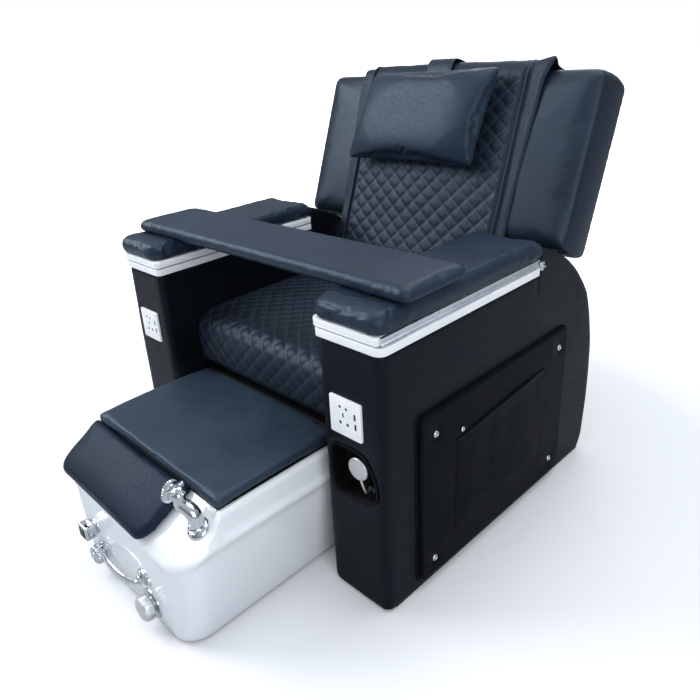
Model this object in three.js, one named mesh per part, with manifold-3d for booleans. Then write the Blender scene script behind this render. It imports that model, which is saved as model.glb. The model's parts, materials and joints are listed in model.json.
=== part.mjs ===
// Pedicure spa chair: upholstered armchair with a pull-out foot bath.
// Millimetres, +Z up. The sitter faces -Y and has the +X side on their left.
// Coordinates in the code are taken from the plane of the two arm fronts (y = 0), the middle of the
// seat (x = 0) and the floor (z = 0); the outer group then moves the chair so that its origin is the
// middle of the chair's footprint box on the floor.
import * as THREE from "three";
import { mergeVertices } from "three/addons/utils/BufferGeometryUtils.js";
import Module from "manifold-3d";

const wasm = await Module();
wasm.setup();

// ---------------------------------------------------------------- driving dimensions
const ORIGIN_Y = 290.49; // middle of the whole chair, from the arm fronts

const ARM_IN = 298; // inner face of an arm box
const ARM_OUT = 465; // outer face of an arm box
const ARM_FRONT_TOP = 620; // top of the arm box under the sliding armrest
const ARMREST_REAR = 540; // seam between the sliding armrest and the fixed rear bolster
const WALL = 14; // arm box board and upholstery

const PAD_IN = 289;
const PAD_OUT = 475;
const PAD_BOTTOM = 660.3;
const PAD_TOP = 705;

const TRAY = { x: 476, y0: 55, y1: 245, z0: 705.4, z1: 734, r: 26 };

const RAKE = THREE.MathUtils.degToRad(20.17); // backrest rake from vertical
const BACK_FOOT = [0, 675, 625]; // a point on the backrest's front plane
const BACK_HALF = 447;
const BACK_LOW = 37;
const BACK_HIGH = 449;
const BACK_DEEP = 146;
const HINGE = { y: 690, z: 520 }; // recline hinge axis, along X

const LEVER_ARM = 160; // recline crank, hinge to actuator pin
const LEVER_DEG = 17.5; // crank angle behind straight down, at rest
const ACT_PIVOT = { x: 16, y: 250, z: 330 };

const SEAT = { half: 293, y0: 90, y1: 622, z0: 415.4, z1: 496 };

const TUB = { half: 262, y0: -361, y1: 200, rim: 316, floor: 75 };
const TUB_WHEEL = { r: 20, y: [-300, 40], z: 20.5 };
const LID = { half: 255, y0: -252, y1: 58, z0: 321, z1: 345 };

const KNOB_Y = TUB.y0 - 0.4;

// ---------------------------------------------------------------- materials
const mat = (color, roughness, metalness) =>
  new THREE.MeshStandardMaterial({ color, roughness, metalness });
const M = {
  leather: mat(0x23272e, 0.45, 0),
  quilt: mat(0x1d2127, 0.5, 0),
  acrylic: mat(0xf1f3f6, 0.12, 0),
  chrome: mat(0xc9ccd0, 0.12, 1),
  steel: mat(0xb4b8bc, 0.35, 1),
  frame: mat(0x2c2d2f, 0.5, 0.6),
  trim: mat(0xe9ebee, 0.3, 0),
  plastic: mat(0xf4f5f6, 0.3, 0),
  black: mat(0x15161a, 0.4, 0),
  rubber: mat(0x1c1c1d, 0.85, 0),
  wood: mat(0xb08a5a, 0.7, 0),
};

// ---------------------------------------------------------------- shape helpers
const shapeOf = (pts) => new THREE.Shape(pts.map(([a, b]) => new THREE.Vector2(a, b)));

// Rounded rectangle with one radius, or four from the low-low corner counter-clockwise.
function rounded(a0, b0, a1, b1, r = 0, n = 4) {
  const rr = Array.isArray(r) ? r : [r, r, r, r];
  const c = [
    [a0, b0, 180],
    [a1, b0, 270],
    [a1, b1, 0],
    [a0, b1, 90],
  ];
  const pts = [];
  c.forEach(([a, b, start], i) => {
    const q = rr[i];
    if (!q) return pts.push([a, b]);
    const ca = a + (i === 0 || i === 3 ? q : -q);
    const cb = b + (i < 2 ? q : -q);
    for (let k = 0; k <= n; k++) {
      const t = THREE.MathUtils.degToRad(start + (90 * k) / n);
      pts.push([ca + q * Math.cos(t), cb + q * Math.sin(t)]);
    }
  });
  return pts;
}

const disc = (a, b, ra, rb = ra, n = 16) =>
  Array.from({ length: n }, (_, k) => {
    const t = (2 * Math.PI * (k + 0.5)) / n;
    return [a + ra * Math.cos(t), b + rb * Math.sin(t)];
  });

function extrude(pts, depth, bevel) {
  const opt = { depth, steps: 1, bevelEnabled: false };
  if (bevel)
    Object.assign(opt, {
      depth: depth - 2 * bevel.t,
      bevelEnabled: true,
      bevelThickness: bevel.t,
      bevelSize: bevel.s,
      bevelOffset: -bevel.s,
      bevelSegments: bevel.n || 2,
    });
  const g = new THREE.ExtrudeGeometry(shapeOf(pts), opt);
  if (bevel) g.translate(0, 0, bevel.t);
  return g;
}

// Profile in (y, z), run along X.
function prismX(pts, x0, x1, bevel) {
  const [a, b] = x0 < x1 ? [x0, x1] : [x1, x0];
  const g = extrude(pts, b - a, bevel);
  return g.applyMatrix4(new THREE.Matrix4().set(0, 0, 1, a, 1, 0, 0, 0, 0, 1, 0, 0, 0, 0, 0, 1));
}
// Profile in (x, z), run along Y.
function prismY(pts, y0, y1, bevel) {
  const g = extrude(pts, y1 - y0, bevel);
  return g.applyMatrix4(new THREE.Matrix4().set(1, 0, 0, 0, 0, 0, -1, y1, 0, 1, 0, 0, 0, 0, 0, 1));
}
// Profile in (x, y), run along Z.
function prismZ(pts, z0, z1, bevel) {
  return extrude(pts, z1 - z0, bevel).translate(0, 0, z0);
}
const boxOf = (x0, x1, y0, y1, z0, z1) =>
  new THREE.BoxGeometry(x1 - x0, y1 - y0, z1 - z0).translate((x0 + x1) / 2, (y0 + y1) / 2, (z0 + z1) / 2);

// Round bar between two points.
function bar(p, q, r, n = 16) {
  const a = new THREE.Vector3(...p);
  const b = new THREE.Vector3(...q);
  const d = b.clone().sub(a);
  const g = new THREE.CylinderGeometry(r, r, d.length(), n);
  g.rotateY(Math.PI / n);
  g.applyQuaternion(new THREE.Quaternion().setFromUnitVectors(new THREE.Vector3(0, 1, 0), d.clone().normalize()));
  const m = a.add(b).multiplyScalar(0.5);
  return g.translate(m.x, m.y, m.z);
}
// Turned piece: profile of [radius, along] from the axis back to the axis, along a direction from a point.
function turned(profile, at, dir, n = 20) {
  const g = new THREE.LatheGeometry(profile.map(([r, h]) => new THREE.Vector2(r, h)), n);
  g.applyQuaternion(
    new THREE.Quaternion().setFromUnitVectors(new THREE.Vector3(0, 1, 0), new THREE.Vector3(...dir).normalize()),
  );
  return g.translate(...at);
}
// Round tube along a smooth path.
function pipe(points, r, steps = 20, n = 12) {
  const path = new THREE.CatmullRomCurve3(points.map((p) => new THREE.Vector3(...p)), false, "centripetal");
  return new THREE.ExtrudeGeometry(shapeOf(disc(0, 0, r, r, n)), { steps, bevelEnabled: false, extrudePath: path });
}

// ---------------------------------------------------------------- joins and cuts
function solid(g) {
  const bare = g.clone();
  bare.deleteAttribute("normal");
  bare.deleteAttribute("uv");
  const m = mergeVertices(bare, 1e-4);
  const made = new wasm.Manifold(
    new wasm.Mesh({
      numProp: 3,
      vertProperties: new Float32Array(m.attributes.position.array),
      triVerts: new Uint32Array(m.index.array),
    }),
  );
  return made;
}
const join = (...gs) => gs.map((g) => (g.isBufferGeometry ? solid(g) : g)).reduce((a, b) => a.add(b));
const cut = (g, ...tools) => {
  let s = g.isBufferGeometry ? solid(g) : g;
  for (const t of tools) s = s.subtract(t.isBufferGeometry ? solid(t) : t);
  return s;
};
function geometryOf(m) {
  const mesh = m.getMesh();
  const g = new THREE.BufferGeometry();
  const p = new Float32Array((mesh.vertProperties.length / mesh.numProp) * 3);
  for (let i = 0; i < p.length / 3; i++)
    for (let k = 0; k < 3; k++) p[3 * i + k] = mesh.vertProperties[mesh.numProp * i + k];
  g.setAttribute("position", new THREE.BufferAttribute(p, 3));
  g.setIndex(new THREE.BufferAttribute(new Uint32Array(mesh.triVerts), 1));
  const flat = g.toNonIndexed();
  flat.computeVertexNormals();
  return flat;
}

const chair = new THREE.Group();
chair.name = "pedicure_spa_chair";
const place = new THREE.Group();
place.position.set(0, -ORIGIN_Y, 0);
chair.add(place);
const group = (parent = place) => {
  const g = new THREE.Group();
  parent.add(g);
  return g;
};
function piece(parent, name, shape, material) {
  const mesh = new THREE.Mesh(shape.isBufferGeometry ? shape : geometryOf(shape), material);
  mesh.name = name;
  parent.add(mesh);
  return mesh;
}

// ================================================================ base
const base = group();

// Steel underframe: two side plates with the recline hinge ears, seat cross tubes, floor ties and the
// clevis that holds the recline actuator.
{
  const plate = [
    [112, 372], [228, 330], [236, 60], [250, 30], [775, 30], [782, 60], [770, 150],
    [733, 400], [716, 531], [702, 545], [678, 545], [664, 531], [640, 400], [112, 400],
  ];
  const tube = (y0, y1, z0, z1) => boxOf(-290, 290, y0, y1, z0, z1);
  let f = join(
    prismX(plate, 288, 296),
    prismX(plate, -296, -288),
    tube(116, 140, 373, 397),
    tube(440, 464, 373, 397),
    tube(556, 580, 373, 397),
    tube(240, 264, 286, 310),
    tube(250, 278, 32, 58),
    tube(735, 763, 32, 58),
  );
  // actuator clevis
  const ear = [[240, 300], [264, 300], [262, 338], [256, 342], [244, 342], [238, 338]];
  f = f
    .add(solid(prismX(ear, ACT_PIVOT.x - 12, ACT_PIVOT.x - 6.5)))
    .add(solid(prismX(ear, ACT_PIVOT.x + 6.5, ACT_PIVOT.x + 12)))
    .add(solid(bar([ACT_PIVOT.x - 12, 250, 330], [ACT_PIVOT.x + 12, 250, 330], 5)));
  f = cut(f, bar([-300, HINGE.y, HINGE.z], [300, HINGE.y, HINGE.z], 8.6));
  piece(base, "base_frame", f, M.frame);
}
// One rod carries the backrest through both ears.
piece(base, "hinge_rod", bar([-296, HINGE.y, HINGE.z], [296, HINGE.y, HINGE.z], 8), M.steel);

// Side outline of an arm box: flat top under the sliding armrest, then a rear bolster that rolls down.
const ARM_PROFILE = [
  [0, 4.4], [0, ARM_FRONT_TOP], [545, ARM_FRONT_TOP], [545, 684], [550, 687], [564, 682], [602, 668],
  [634, 655], [663, 640], [700, 617], [730, 594], [752, 575], [769, 556], [792, 530], [812, 502],
  [826, 470], [837, 438], [850, 392], [862, 341], [868, 290], [871, 245], [871.5, 195], [871, 147],
  [869, 95], [866, 48], [862, 4.4],
].reverse();
const ARM_HOLLOW = [
  [15, -10], [15, 605], [532, 605], [560, 664], [600, 652], [655, 626], [720, 582], [757, 545],
  [797, 494], [822, 432], [848, 338], [856, 245], [857, 147], [852, -10],
].reverse();
const SOCKET = { left: [371, 462], right: [-383, 464], half: 43 };
const CUP = [
  [324, 281], [352, 270], [401, 275], [437, 290], [437, 331], [422, 365], [402, 382], [360, 384], [324, 371],
];
const grow = (pts, d) => {
  const cx = pts.reduce((s, p) => s + p[0], 0) / pts.length;
  const cz = pts.reduce((s, p) => s + p[1], 0) / pts.length;
  return pts.map(([x, z]) => {
    const l = Math.hypot(x - cx, z - cz);
    return [cx + ((x - cx) * (l + d)) / l, cz + ((z - cz) * (l + d)) / l];
  });
};
for (const [side, s] of [["left", 1], ["right", -1]]) {
  const [sx, sz] = SOCKET[side];
  const tools = [
    prismX(ARM_HOLLOW, s * (ARM_IN + WALL), s * (ARM_OUT - WALL)),
    // access opening behind the side panel
    prismX(rounded(165, 95, 625, 370, 15, 2), s * 440, s * 480),
    boxOf(sx - 33, sx + 33, -5, 25, sz - 33, sz + 33),
  ];
  if (s > 0) tools.push(prismY(grow(CUP, 5), -5, 25));
  piece(base, `arm_box_${side}`, cut(prismX(ARM_PROFILE, s * ARM_IN, s * ARM_OUT), ...tools), M.leather);

  // padded access panel on the outer side
  piece(
    base,
    `side_panel_${side}`,
    prismX(rounded(100, 25, 695, 450, 22, 4), s * (ARM_OUT + 0.4), s * 472.4, { t: 2, s: 4, n: 1 }),
    M.leather,
  );
  // rubber skid under the arm box
  piece(base, `foot_strip_${side}`, boxOf(s > 0 ? 302 : -461, s > 0 ? 461 : -302, 30, 840, 0, 4), M.rubber);

  // fixed white trim board on top of the arm box
  piece(
    base,
    `trim_lower_${side}`,
    prismZ(
      s > 0
        ? rounded(293, -4, 469.5, 541, [10, 16, 2, 2], 3)
        : rounded(-469.5, -4, -293, 541, [16, 10, 2, 2], 3),
      ARM_FRONT_TOP + 0.4,
      638,
    ),
    M.trim,
  );
  // fixed member of the ball slide, lying in the gap between the two trims
  piece(
    base,
    `rail_outer_${side}`,
    boxOf(s > 0 ? 446 : -468, s > 0 ? 468 : -446, 4, 538, 638.3, 641.6),
    M.steel,
  );

  // wall-socket module with its faceplate
  const plate = prismY(rounded(sx - 43, sz - 43, sx + 43, sz + 43, 6, 3), -8.4, -0.4, { t: 1.5, s: 1.5, n: 1 });
  let socket = join(plate, boxOf(sx - 31, sx + 31, -3, 30, sz - 31, sz + 31));
  for (const [dx, dz] of [[-20, 19], [4, 19]])
    socket = cut(socket, bar([sx + dx, -20, sz + dz], [sx + dx, 6, sz + dz], 3.4, 10));
  for (const [dx, dz, hw, hh] of [
    [-8, 6, 1.8, 5], [-20, -8, 1.6, 5], [4, -8, 1.6, 5], [26, 20, 3, 5], [26, -2, 3, 5],
  ])
    socket = cut(socket, boxOf(sx + dx - hw, sx + dx + hw, -20, 6, sz + dz - hh, sz + dz + hh));
  piece(base, `socket_${side}`, socket, M.plastic);
}

// hand pocket on the left panel, and its snap
piece(base, "side_pocket", prismX(rounded(216, 92, 578, 350, [26, 26, 6, 6], 3), 472.8, 475.8), M.leather);
piece(base, "pocket_snap", bar([472.7, 237, 364], [475.6, 237, 364], 7, 14), M.chrome);
[
  [149, 393],
  [146, 70],
  [642, 74],
  [651, 400],
].forEach(([y, z], i) =>
  piece(
    base,
    `panel_screw_${i + 1}`,
    turned([[0, 0], [9.5, 0], [9, 1.8], [5, 3.1], [0, 3.4]], [472.5, y, z], [1, 0, 0], 16),
    M.chrome,
  ),
);

// black cup in the left arm front that houses the recline release
{
  const flange = prismY(grow(CUP, 9), -2.6, -0.4);
  let cup = join(flange, prismY(grow(CUP, 3.5), -1, 45));
  cup = cut(cup, prismY(CUP, -10, 42));
  // ears that carry the lever's barrel
  cup = cup.add(solid(boxOf(399, 404, 8, 43, 295, 309))).add(solid(boxOf(425, 430, 8, 43, 300, 314)));
  piece(base, "release_cup", cup, M.black);
}

// rear closing board between the arm boxes
piece(base, "rear_panel", boxOf(-297.6, 297.6, 842, 856, 20, 432), M.leather);

// seat
piece(base, "seat_board", boxOf(-286, 286, 112, 628, 400.4, 415), M.wood);
{
  const p = [
    [SEAT.y0, 420], [SEAT.y0 + 4, 415.4], [SEAT.y1, 415.4], [SEAT.y1, 486], [SEAT.y1 - 10, SEAT.z1 - 1],
    [420, SEAT.z1], [180, SEAT.z1], [125, 492], [104, 482], [94, 466], [SEAT.y0, 448],
  ];
  piece(base, "seat_cushion", prismX(p, -SEAT.half, SEAT.half), M.quilt);
}
piece(base, "front_apron", prismX(rounded(90, 350, 106, 414.8, 5, 2), -292, 292), M.quilt);

// ================================================================ recline release lever
{
  const lever = group();
  const shape = join(
    bar([414, 16, 302], [396, 0, 350], 3.2, 10),
    turned([[0, -3], [23, -3], [25, -1.5], [25, 1.5], [23, 3], [0, 3]], [396, -1, 350], [0, 1, 0], 28),
    bar([414 - 7.4, 16, 302 - 2.8], [414 + 7.4, 16, 302 + 2.8], 5, 12),
  );
  piece(lever, "release_lever", shape, M.chrome);
}

// ================================================================ sliding armrests
for (const [side, s] of [["left", 1], ["right", -1]]) {
  const arm = group();
  const p = [
    [-8, 665], [-2, PAD_BOTTOM], [ARMREST_REAR, PAD_BOTTOM], [ARMREST_REAR, 700], [ARMREST_REAR - 5, PAD_TOP],
    [22, PAD_TOP], [4, 700], [-7, 690], [-10, 677],
  ];
  piece(arm, `arm_pad_${side}`, prismX(p, s * PAD_IN, s * PAD_OUT, { t: 12, s: 6, n: 2 }), M.leather);
  piece(
    arm,
    `trim_upper_${side}`,
    prismZ(
      s > 0
        ? rounded(291, -6, 461, 540, [12, 6, 2, 2], 3)
        : rounded(-461, -6, -291, 540, [6, 12, 2, 2], 3),
      642,
      659.9,
    ),
    M.trim,
  );
  piece(
    arm,
    `rail_inner_${side}`,
    boxOf(s > 0 ? 461.4 : -469, s > 0 ? 469 : -461.4, -1, 539, 643, 659),
    M.steel,
  );
}

// ================================================================ loose padded tray across the arms
piece(
  group(),
  "tray_board",
  prismZ(rounded(-TRAY.x, TRAY.y0, TRAY.x, TRAY.y1, TRAY.r, 5), TRAY.z0, TRAY.z1, { t: 8, s: 7, n: 2 }),
  M.leather,
);

// ================================================================ backrest
// In this group y runs back from the front plane and z runs up the slope.
const back = group();
back.position.set(...BACK_FOOT);
back.rotation.x = -RAKE;
const toBack = (y, z) => {
  const dy = y - BACK_FOOT[1];
  const dz = z - BACK_FOOT[2];
  return [dy * Math.cos(RAKE) - dz * Math.sin(RAKE), dy * Math.sin(RAKE) + dz * Math.cos(RAKE)];
};
const [hy, hz] = toBack(HINGE.y, HINGE.z);
const a0 = THREE.MathUtils.degToRad(LEVER_DEG);
const [py, pz] = toBack(HINGE.y + LEVER_ARM * Math.sin(a0), HINGE.z - LEVER_ARM * Math.cos(a0));

// steel backrest frame: pivot tube, two uprights, two cross bars, two guide rods and the recline crank
{
  const d = new THREE.Vector2(py - hy, pz - hz).normalize();
  const n = new THREE.Vector2(-d.y, d.x);
  const crank = [
    [hy + n.x * 15, hz + n.y * 15],
    [hy - n.x * 15, hz - n.y * 15],
    [py - n.x * 11, pz - n.y * 11],
    [py + d.x * 10, pz + d.y * 10],
    [py + n.x * 11, pz + n.y * 11],
  ];
  let f = join(
    bar([-284, hy, hz], [284, hy, hz], 14.5, 20),
    boxOf(-212, -188, hy - 12.5, hy + 12.5, hz, 426),
    boxOf(188, 212, hy - 12.5, hy + 12.5, hz, 426),
    boxOf(-205, 205, 60, 84, 62, 80),
    boxOf(-205, 205, 60, 84, 404, 422),
    bar([-110, 72, 70], [-110, 72, 414], 8, 12),
    bar([110, 72, 70], [110, 72, 414], 8, 12),
    prismX(crank, -6, 6),
    bar([0, py, pz], [26, py, pz], 5),
  );
  f = cut(f, bar([-300, hy, hz], [300, hy, hz], 8.8));
  piece(back, "back_frame", f, M.frame);
}
// upholstered backrest casing: full-width slab above the arms, narrow tongue down to the seat
{
  const slab = prismY(rounded(-BACK_HALF, BACK_LOW, BACK_HALF, BACK_HIGH, 30, 5), 0, BACK_DEEP, { t: 12, s: 8, n: 2 });
  const tongue = boxOf(-262, 262, 0.5, 33.5, -132, 60);
  const hollow = boxOf(-432, 432, 15, 131, 51, 435);
  const window = boxOf(-184, 184, -10, 40, 62, 408);
  const slotL = boxOf(184, 216, 34.6, 70, 30, 60);
  const slotR = boxOf(-216, -184, 34.6, 70, 30, 60);
  piece(back, "back_shell", cut(join(slab, tongue), hollow, window, slotL, slotR), M.leather);
}
// quilted cover that hangs down the front and folds over the top
piece(
  back,
  "back_cover",
  prismX(
    [
      [-22, -132], [-0.4, -132], [-0.4, 449.4], [148, 449.4], [148, 468], [142, 471], [-14, 471], [-22, 463],
    ],
    -292,
    292,
  ),
  M.quilt,
);
// strap of the head pillow, hooked over the top
piece(
  back,
  "pillow_strap",
  prismX(
    [[-26.5, 392], [-22.5, 392], [-22.5, 471.5], [148.6, 471.5], [148.6, 330], [152, 330], [152, 475], [-26.5, 475]],
    -52,
    32,
  ),
  M.leather,
);
piece(back, "lead_screw", bar([0, 72, 80.4], [0, 72, 403.6], 9, 14), M.steel);

// head pillow
const pillow = group(back);
piece(pillow, "pillow", prismY(rounded(-226, 184, 204, 421, 34, 4), -108, -27.2, { t: 30, s: 22, n: 3 }), M.leather);

// massage carriage on the guide rods
const carriage = group(back);
{
  let c = join(
    boxOf(-126, 126, 60, 92, 198, 262),
    boxOf(-72, -66, 18, 62, 190, 270),
    boxOf(66, 72, 18, 62, 190, 270),
    boxOf(-60, 60, 90, 118, 205, 255),
  );
  c = cut(
    c,
    bar([-110, 72, 150], [-110, 72, 300], 8.8, 12),
    bar([110, 72, 150], [110, 72, 300], 8.8, 12),
    bar([0, 72, 150], [0, 72, 300], 10, 14),
    bar([-90, 31, 204], [90, 31, 204], 6.6, 14),
    bar([-90, 31, 256], [90, 31, 256], 6.6, 14),
  );
  piece(carriage, "massage_carriage", c, M.black);
}
const rollers = [
  [0, -76], [6, -76], [6, -60], [18, -60], [25, -54], [25, -38], [18, -32], [6, -32],
  [6, 32], [18, 32], [25, 38], [25, 54], [18, 60], [6, 60], [6, 76], [0, 76],
];
piece(group(carriage), "roller_upper", turned(rollers, [0, 31, 256], [1, 0, 0], 14), M.rubber);
piece(group(carriage), "roller_lower", turned(rollers, [0, 31, 204], [1, 0, 0], 14), M.rubber);

// ================================================================ recline actuator
// In this group y runs from the clevis pin along the actuator.
{
  const pin = { y: HINGE.y + LEVER_ARM * Math.sin(a0), z: HINGE.z - LEVER_ARM * Math.cos(a0) };
  const eye = { y: pin.y, z: pin.z - 3.8 };
  const len = Math.hypot(eye.y - ACT_PIVOT.y, eye.z - ACT_PIVOT.z);
  const tilt = Math.atan2(eye.z - ACT_PIVOT.z, eye.y - ACT_PIVOT.y);
  const act = group();
  act.position.set(ACT_PIVOT.x, ACT_PIVOT.y, ACT_PIVOT.z);
  act.rotation.x = tilt;
  let body = join(prismX(disc(0, 0, 12, 12, 16), -6, 6), boxOf(-6, 6, 4, 30, -8, 8), bar([0, 22, 0], [0, 285, 0], 14, 20));
  body = cut(body, bar([-20, 0, 0], [20, 0, 0], 5.8), bar([0, 130, 0], [0, 300, 0], 7.6, 16));
  piece(act, "actuator_body", body, M.black);
  let rod = join(bar([0, 245, 0], [0, len - 12, 0], 7, 16), prismX(disc(len, 0, 16, 16, 20), -6, 6));
  rod = cut(rod, prismX(disc(len, 0, 10.5, 10.5, 20), -20, 20));
  piece(act, "actuator_rod", rod, M.steel);
}

// ================================================================ pull-out foot bath
const tub = group();
{
  // outer skin: a rounded box whose walls lean out to a soft ridge and step in above it
  const levels = [
    [4, 226, -355],
    [16, 232, -360],
    [126, 250, -361],
    [238, 269, -361],
    [248, 275, -361],
    [257, 270, -360],
    [266, 264, -359],
    [TUB.rim, 262, -358],
  ];
  const plan = rounded(-TUB.half, TUB.y0, TUB.half, TUB.y1, [62, 62, 22, 22], 6);
  const skin = new THREE.ExtrudeGeometry(shapeOf(plan), { depth: 7, steps: levels.length - 1, bevelEnabled: false });
  const pos = skin.attributes.position;
  for (let i = 0; i < pos.count; i++) {
    const [z, half, front] = levels[Math.round(pos.getZ(i))];
    pos.setX(i, (pos.getX(i) * half) / TUB.half);
    pos.setY(i, TUB.y1 - ((TUB.y1 - pos.getY(i)) * (TUB.y1 - front)) / (TUB.y1 - TUB.y0));
    pos.setZ(i, z);
  }
  // bowl, wider at the rim than at the floor
  const bowl = prismZ(rounded(-234, -226, 234, 46, 48, 4), 0, 1);
  const bp = bowl.attributes.position;
  for (let i = 0; i < bp.count; i++) {
    const top = bp.getZ(i) > 0.5;
    bp.setZ(i, top ? TUB.rim + 2 : TUB.floor);
    if (!top) {
      bp.setX(i, bp.getX(i) * 0.88);
      bp.setY(i, -90 + (bp.getY(i) + 90) * 0.9);
    }
  }
  const deck = prismX([[-500, 420], [-500, 214], [-364, 214], [-340, 244], [-243, 306], [-243, 420]], -400, 400);
  let t = cut(
    skin,
    bowl,
    deck,
    prismZ(rounded(-212, -338, 212, 188, 30, 3), -5, 62),
    boxOf(-238, 238, 62, 188, -5, 302),
    bar([0, -90, 50], [0, -90, 90], 22, 20),
  );
  // axle lugs under the floor
  for (const y of TUB_WHEEL.y)
    for (const x of [-155, 155]) t = t.add(solid(boxOf(x - 5, x + 5, y - 13, y + 13, 9, 64)));
  for (const y of TUB_WHEEL.y) t = t.subtract(solid(bar([-170, y, TUB_WHEEL.z], [170, y, TUB_WHEEL.z], 6, 14)));
  piece(tub, "tub_shell", t, M.acrylic);
}
// padded footrest on the sloping front deck
piece(
  tub,
  "footrest_pad",
  prismX(
    [
      [-246, 308.2], [-246, 318], [-258, 323], [-283, 314], [-322, 291], [-356, 265], [-371, 246], [-372, 232],
      [-366, 226.4], [-357, 226.4], [-341.4, 245.4],
    ],
    -266,
    152,
    { t: 6, s: 3, n: 1 },
  ),
  M.leather,
);
piece(
  tub,
  "jet_pump",
  join(bar([-60, 122, 120], [60, 122, 120], 42, 20), bar([60, 122, 120], [92, 122, 120], 52, 20), bar([76, 122, 120], [76, 122, 210], 14, 14)),
  M.black,
);
piece(tub, "overflow_plate", prismY(disc(91, 120, 27, 18, 24), KNOB_Y - 4, KNOB_Y), M.chrome);
piece(
  tub,
  "pull_handle",
  pipe(
    [
      [-92, KNOB_Y, 86], [-92, KNOB_Y - 6, 86], [-86, KNOB_Y - 20, 86], [-56, KNOB_Y - 31, 86], [-18, KNOB_Y - 34, 86],
      [20, KNOB_Y - 31, 86], [50, KNOB_Y - 20, 86], [56, KNOB_Y - 6, 86], [56, KNOB_Y, 86],
    ],
    5.5,
    18,
    8,
  ),
  M.chrome,
);
piece(tub, "faucet_base", turned([[0, 0], [25, 0], [25, 3], [19, 7], [0, 7]], [224, -284.4, 280.5], [0, -0.5385, 0.8426], 24), M.chrome);

// wheels under the bath
const wheelset = [
  [0, -198], [5, -198], [5, -192], [20, -192], [20, -172], [5, -172],
  [5, 172], [20, 172], [20, 192], [5, 192], [5, 198], [0, 198],
];
piece(group(tub), "wheelset_front", turned(wheelset, [0, TUB_WHEEL.y[0], TUB_WHEEL.z], [1, 0, 0], 16), M.rubber);
piece(group(tub), "wheelset_rear", turned(wheelset, [0, TUB_WHEEL.y[1], TUB_WHEEL.z], [1, 0, 0], 16), M.rubber);

// lift-off padded lid
piece(
  group(tub),
  "tub_lid",
  prismZ(rounded(-LID.half, LID.y0, LID.half, LID.y1, 9, 3), LID.z0, LID.z1, { t: 5, s: 4, n: 1 }),
  M.leather,
);

// swivelling faucet and its pull-out shower head
{
  const faucet = group(tub);
  const spout = join(
    bar([224, -287, 298.5], [224, -287, 322], 13, 18),
    pipe([[224, -287, 315], [223, -287.5, 330], [214, -290, 343], [196, -295, 349], [186, -298.3, 352]], 11, 10, 12),
  );
  piece(faucet, "faucet_spout", spout, M.chrome);
  const head = group(faucet);
  piece(
    head,
    "shower_head",
    turned(
      [[0, 0], [12, 0], [13, 5], [24, 10], [26, 14], [26, 24], [22, 27], [0, 27]],
      [182.6, -299.4, 352.8],
      [-0.88, -0.3, 0.12],
      24,
    ),
    M.chrome,
  );
}

// knobs on the front wall of the bath
{
  const temp = group(tub);
  const body = cut(
    prismY(rounded(-141 - 22, 126 - 22, -141 + 22, 126 + 22, 8, 3), KNOB_Y - 34, KNOB_Y, { t: 3, s: 3, n: 1 }),
    boxOf(-141 - 12.4, -141 + 12.4, KNOB_Y - 40, KNOB_Y - 18, 126 - 12.4, 126 + 12.4),
  );
  piece(temp, "knob_temp", body, M.chrome);
  piece(
    group(temp),
    "temp_button",
    prismY(rounded(-141 - 12, 126 - 12, -141 + 12, 126 + 12, 2, 2), KNOB_Y - 36, KNOB_Y - 24),
    M.black,
  );
  const knob = (r, l) => [
    [0, 0], [r * 0.72, 0], [r * 0.72, l * 0.2], [r, l * 0.3], [r, l * 0.82], [r * 0.86, l], [0, l],
  ];
  piece(group(tub), "knob_flow", turned(knob(25, 35), [-127, KNOB_Y, 58], [0, -1, 0], 24), M.chrome);
  piece(group(tub), "knob_drain", turned(knob(27, 33), [106, KNOB_Y, 57], [0, -1, 0], 24), M.chrome);
}
// pop-up drain plug, linked to the drain knob
piece(
  group(tub),
  "drain_plug",
  turned([[0, 48], [11, 48], [11, 75.5], [28, 75.5], [28, 78.5], [20, 80.5], [0, 81]], [0, -90, 0], [0, 0, 1], 24),
  M.chrome,
);

export default chair;
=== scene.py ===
import json
import math

import bmesh
import bpy
import numpy as np
from mathutils import Matrix, Vector
from mathutils.kdtree import KDTree

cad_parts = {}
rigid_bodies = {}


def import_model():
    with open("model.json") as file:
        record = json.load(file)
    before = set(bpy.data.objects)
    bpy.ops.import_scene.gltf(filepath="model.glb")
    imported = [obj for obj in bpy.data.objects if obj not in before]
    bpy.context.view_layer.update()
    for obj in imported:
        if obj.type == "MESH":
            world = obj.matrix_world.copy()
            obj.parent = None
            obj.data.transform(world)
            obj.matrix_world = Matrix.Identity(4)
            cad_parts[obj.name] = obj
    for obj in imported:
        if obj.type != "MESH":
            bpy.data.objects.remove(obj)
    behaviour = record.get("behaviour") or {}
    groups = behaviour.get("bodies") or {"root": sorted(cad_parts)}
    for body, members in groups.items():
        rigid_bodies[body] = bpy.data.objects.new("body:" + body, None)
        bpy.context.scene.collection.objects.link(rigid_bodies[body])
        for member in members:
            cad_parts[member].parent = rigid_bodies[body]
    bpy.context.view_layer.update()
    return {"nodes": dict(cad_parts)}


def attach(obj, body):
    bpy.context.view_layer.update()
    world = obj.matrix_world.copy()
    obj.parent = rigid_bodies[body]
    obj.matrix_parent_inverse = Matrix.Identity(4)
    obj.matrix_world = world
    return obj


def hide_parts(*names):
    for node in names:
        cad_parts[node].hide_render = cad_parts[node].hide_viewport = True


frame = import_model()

# ------------------------------------------------------------------ frame
# Shapes below are written in millimetres from the plane of the arm fronts (y 0), the middle of the seat
# (x 0) and the floor (z 0); W() turns them into the row frame in metres.
OY = 290.49
RAKE = math.radians(20.17)
SN, CS = math.sin(RAKE), math.cos(RAKE)


def W(v):
    v = np.asarray(v, float).reshape(-1, 3)
    return np.stack([v[:, 0] / 1000, (v[:, 1] - OY) / 1000, v[:, 2] / 1000], 1)


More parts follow.
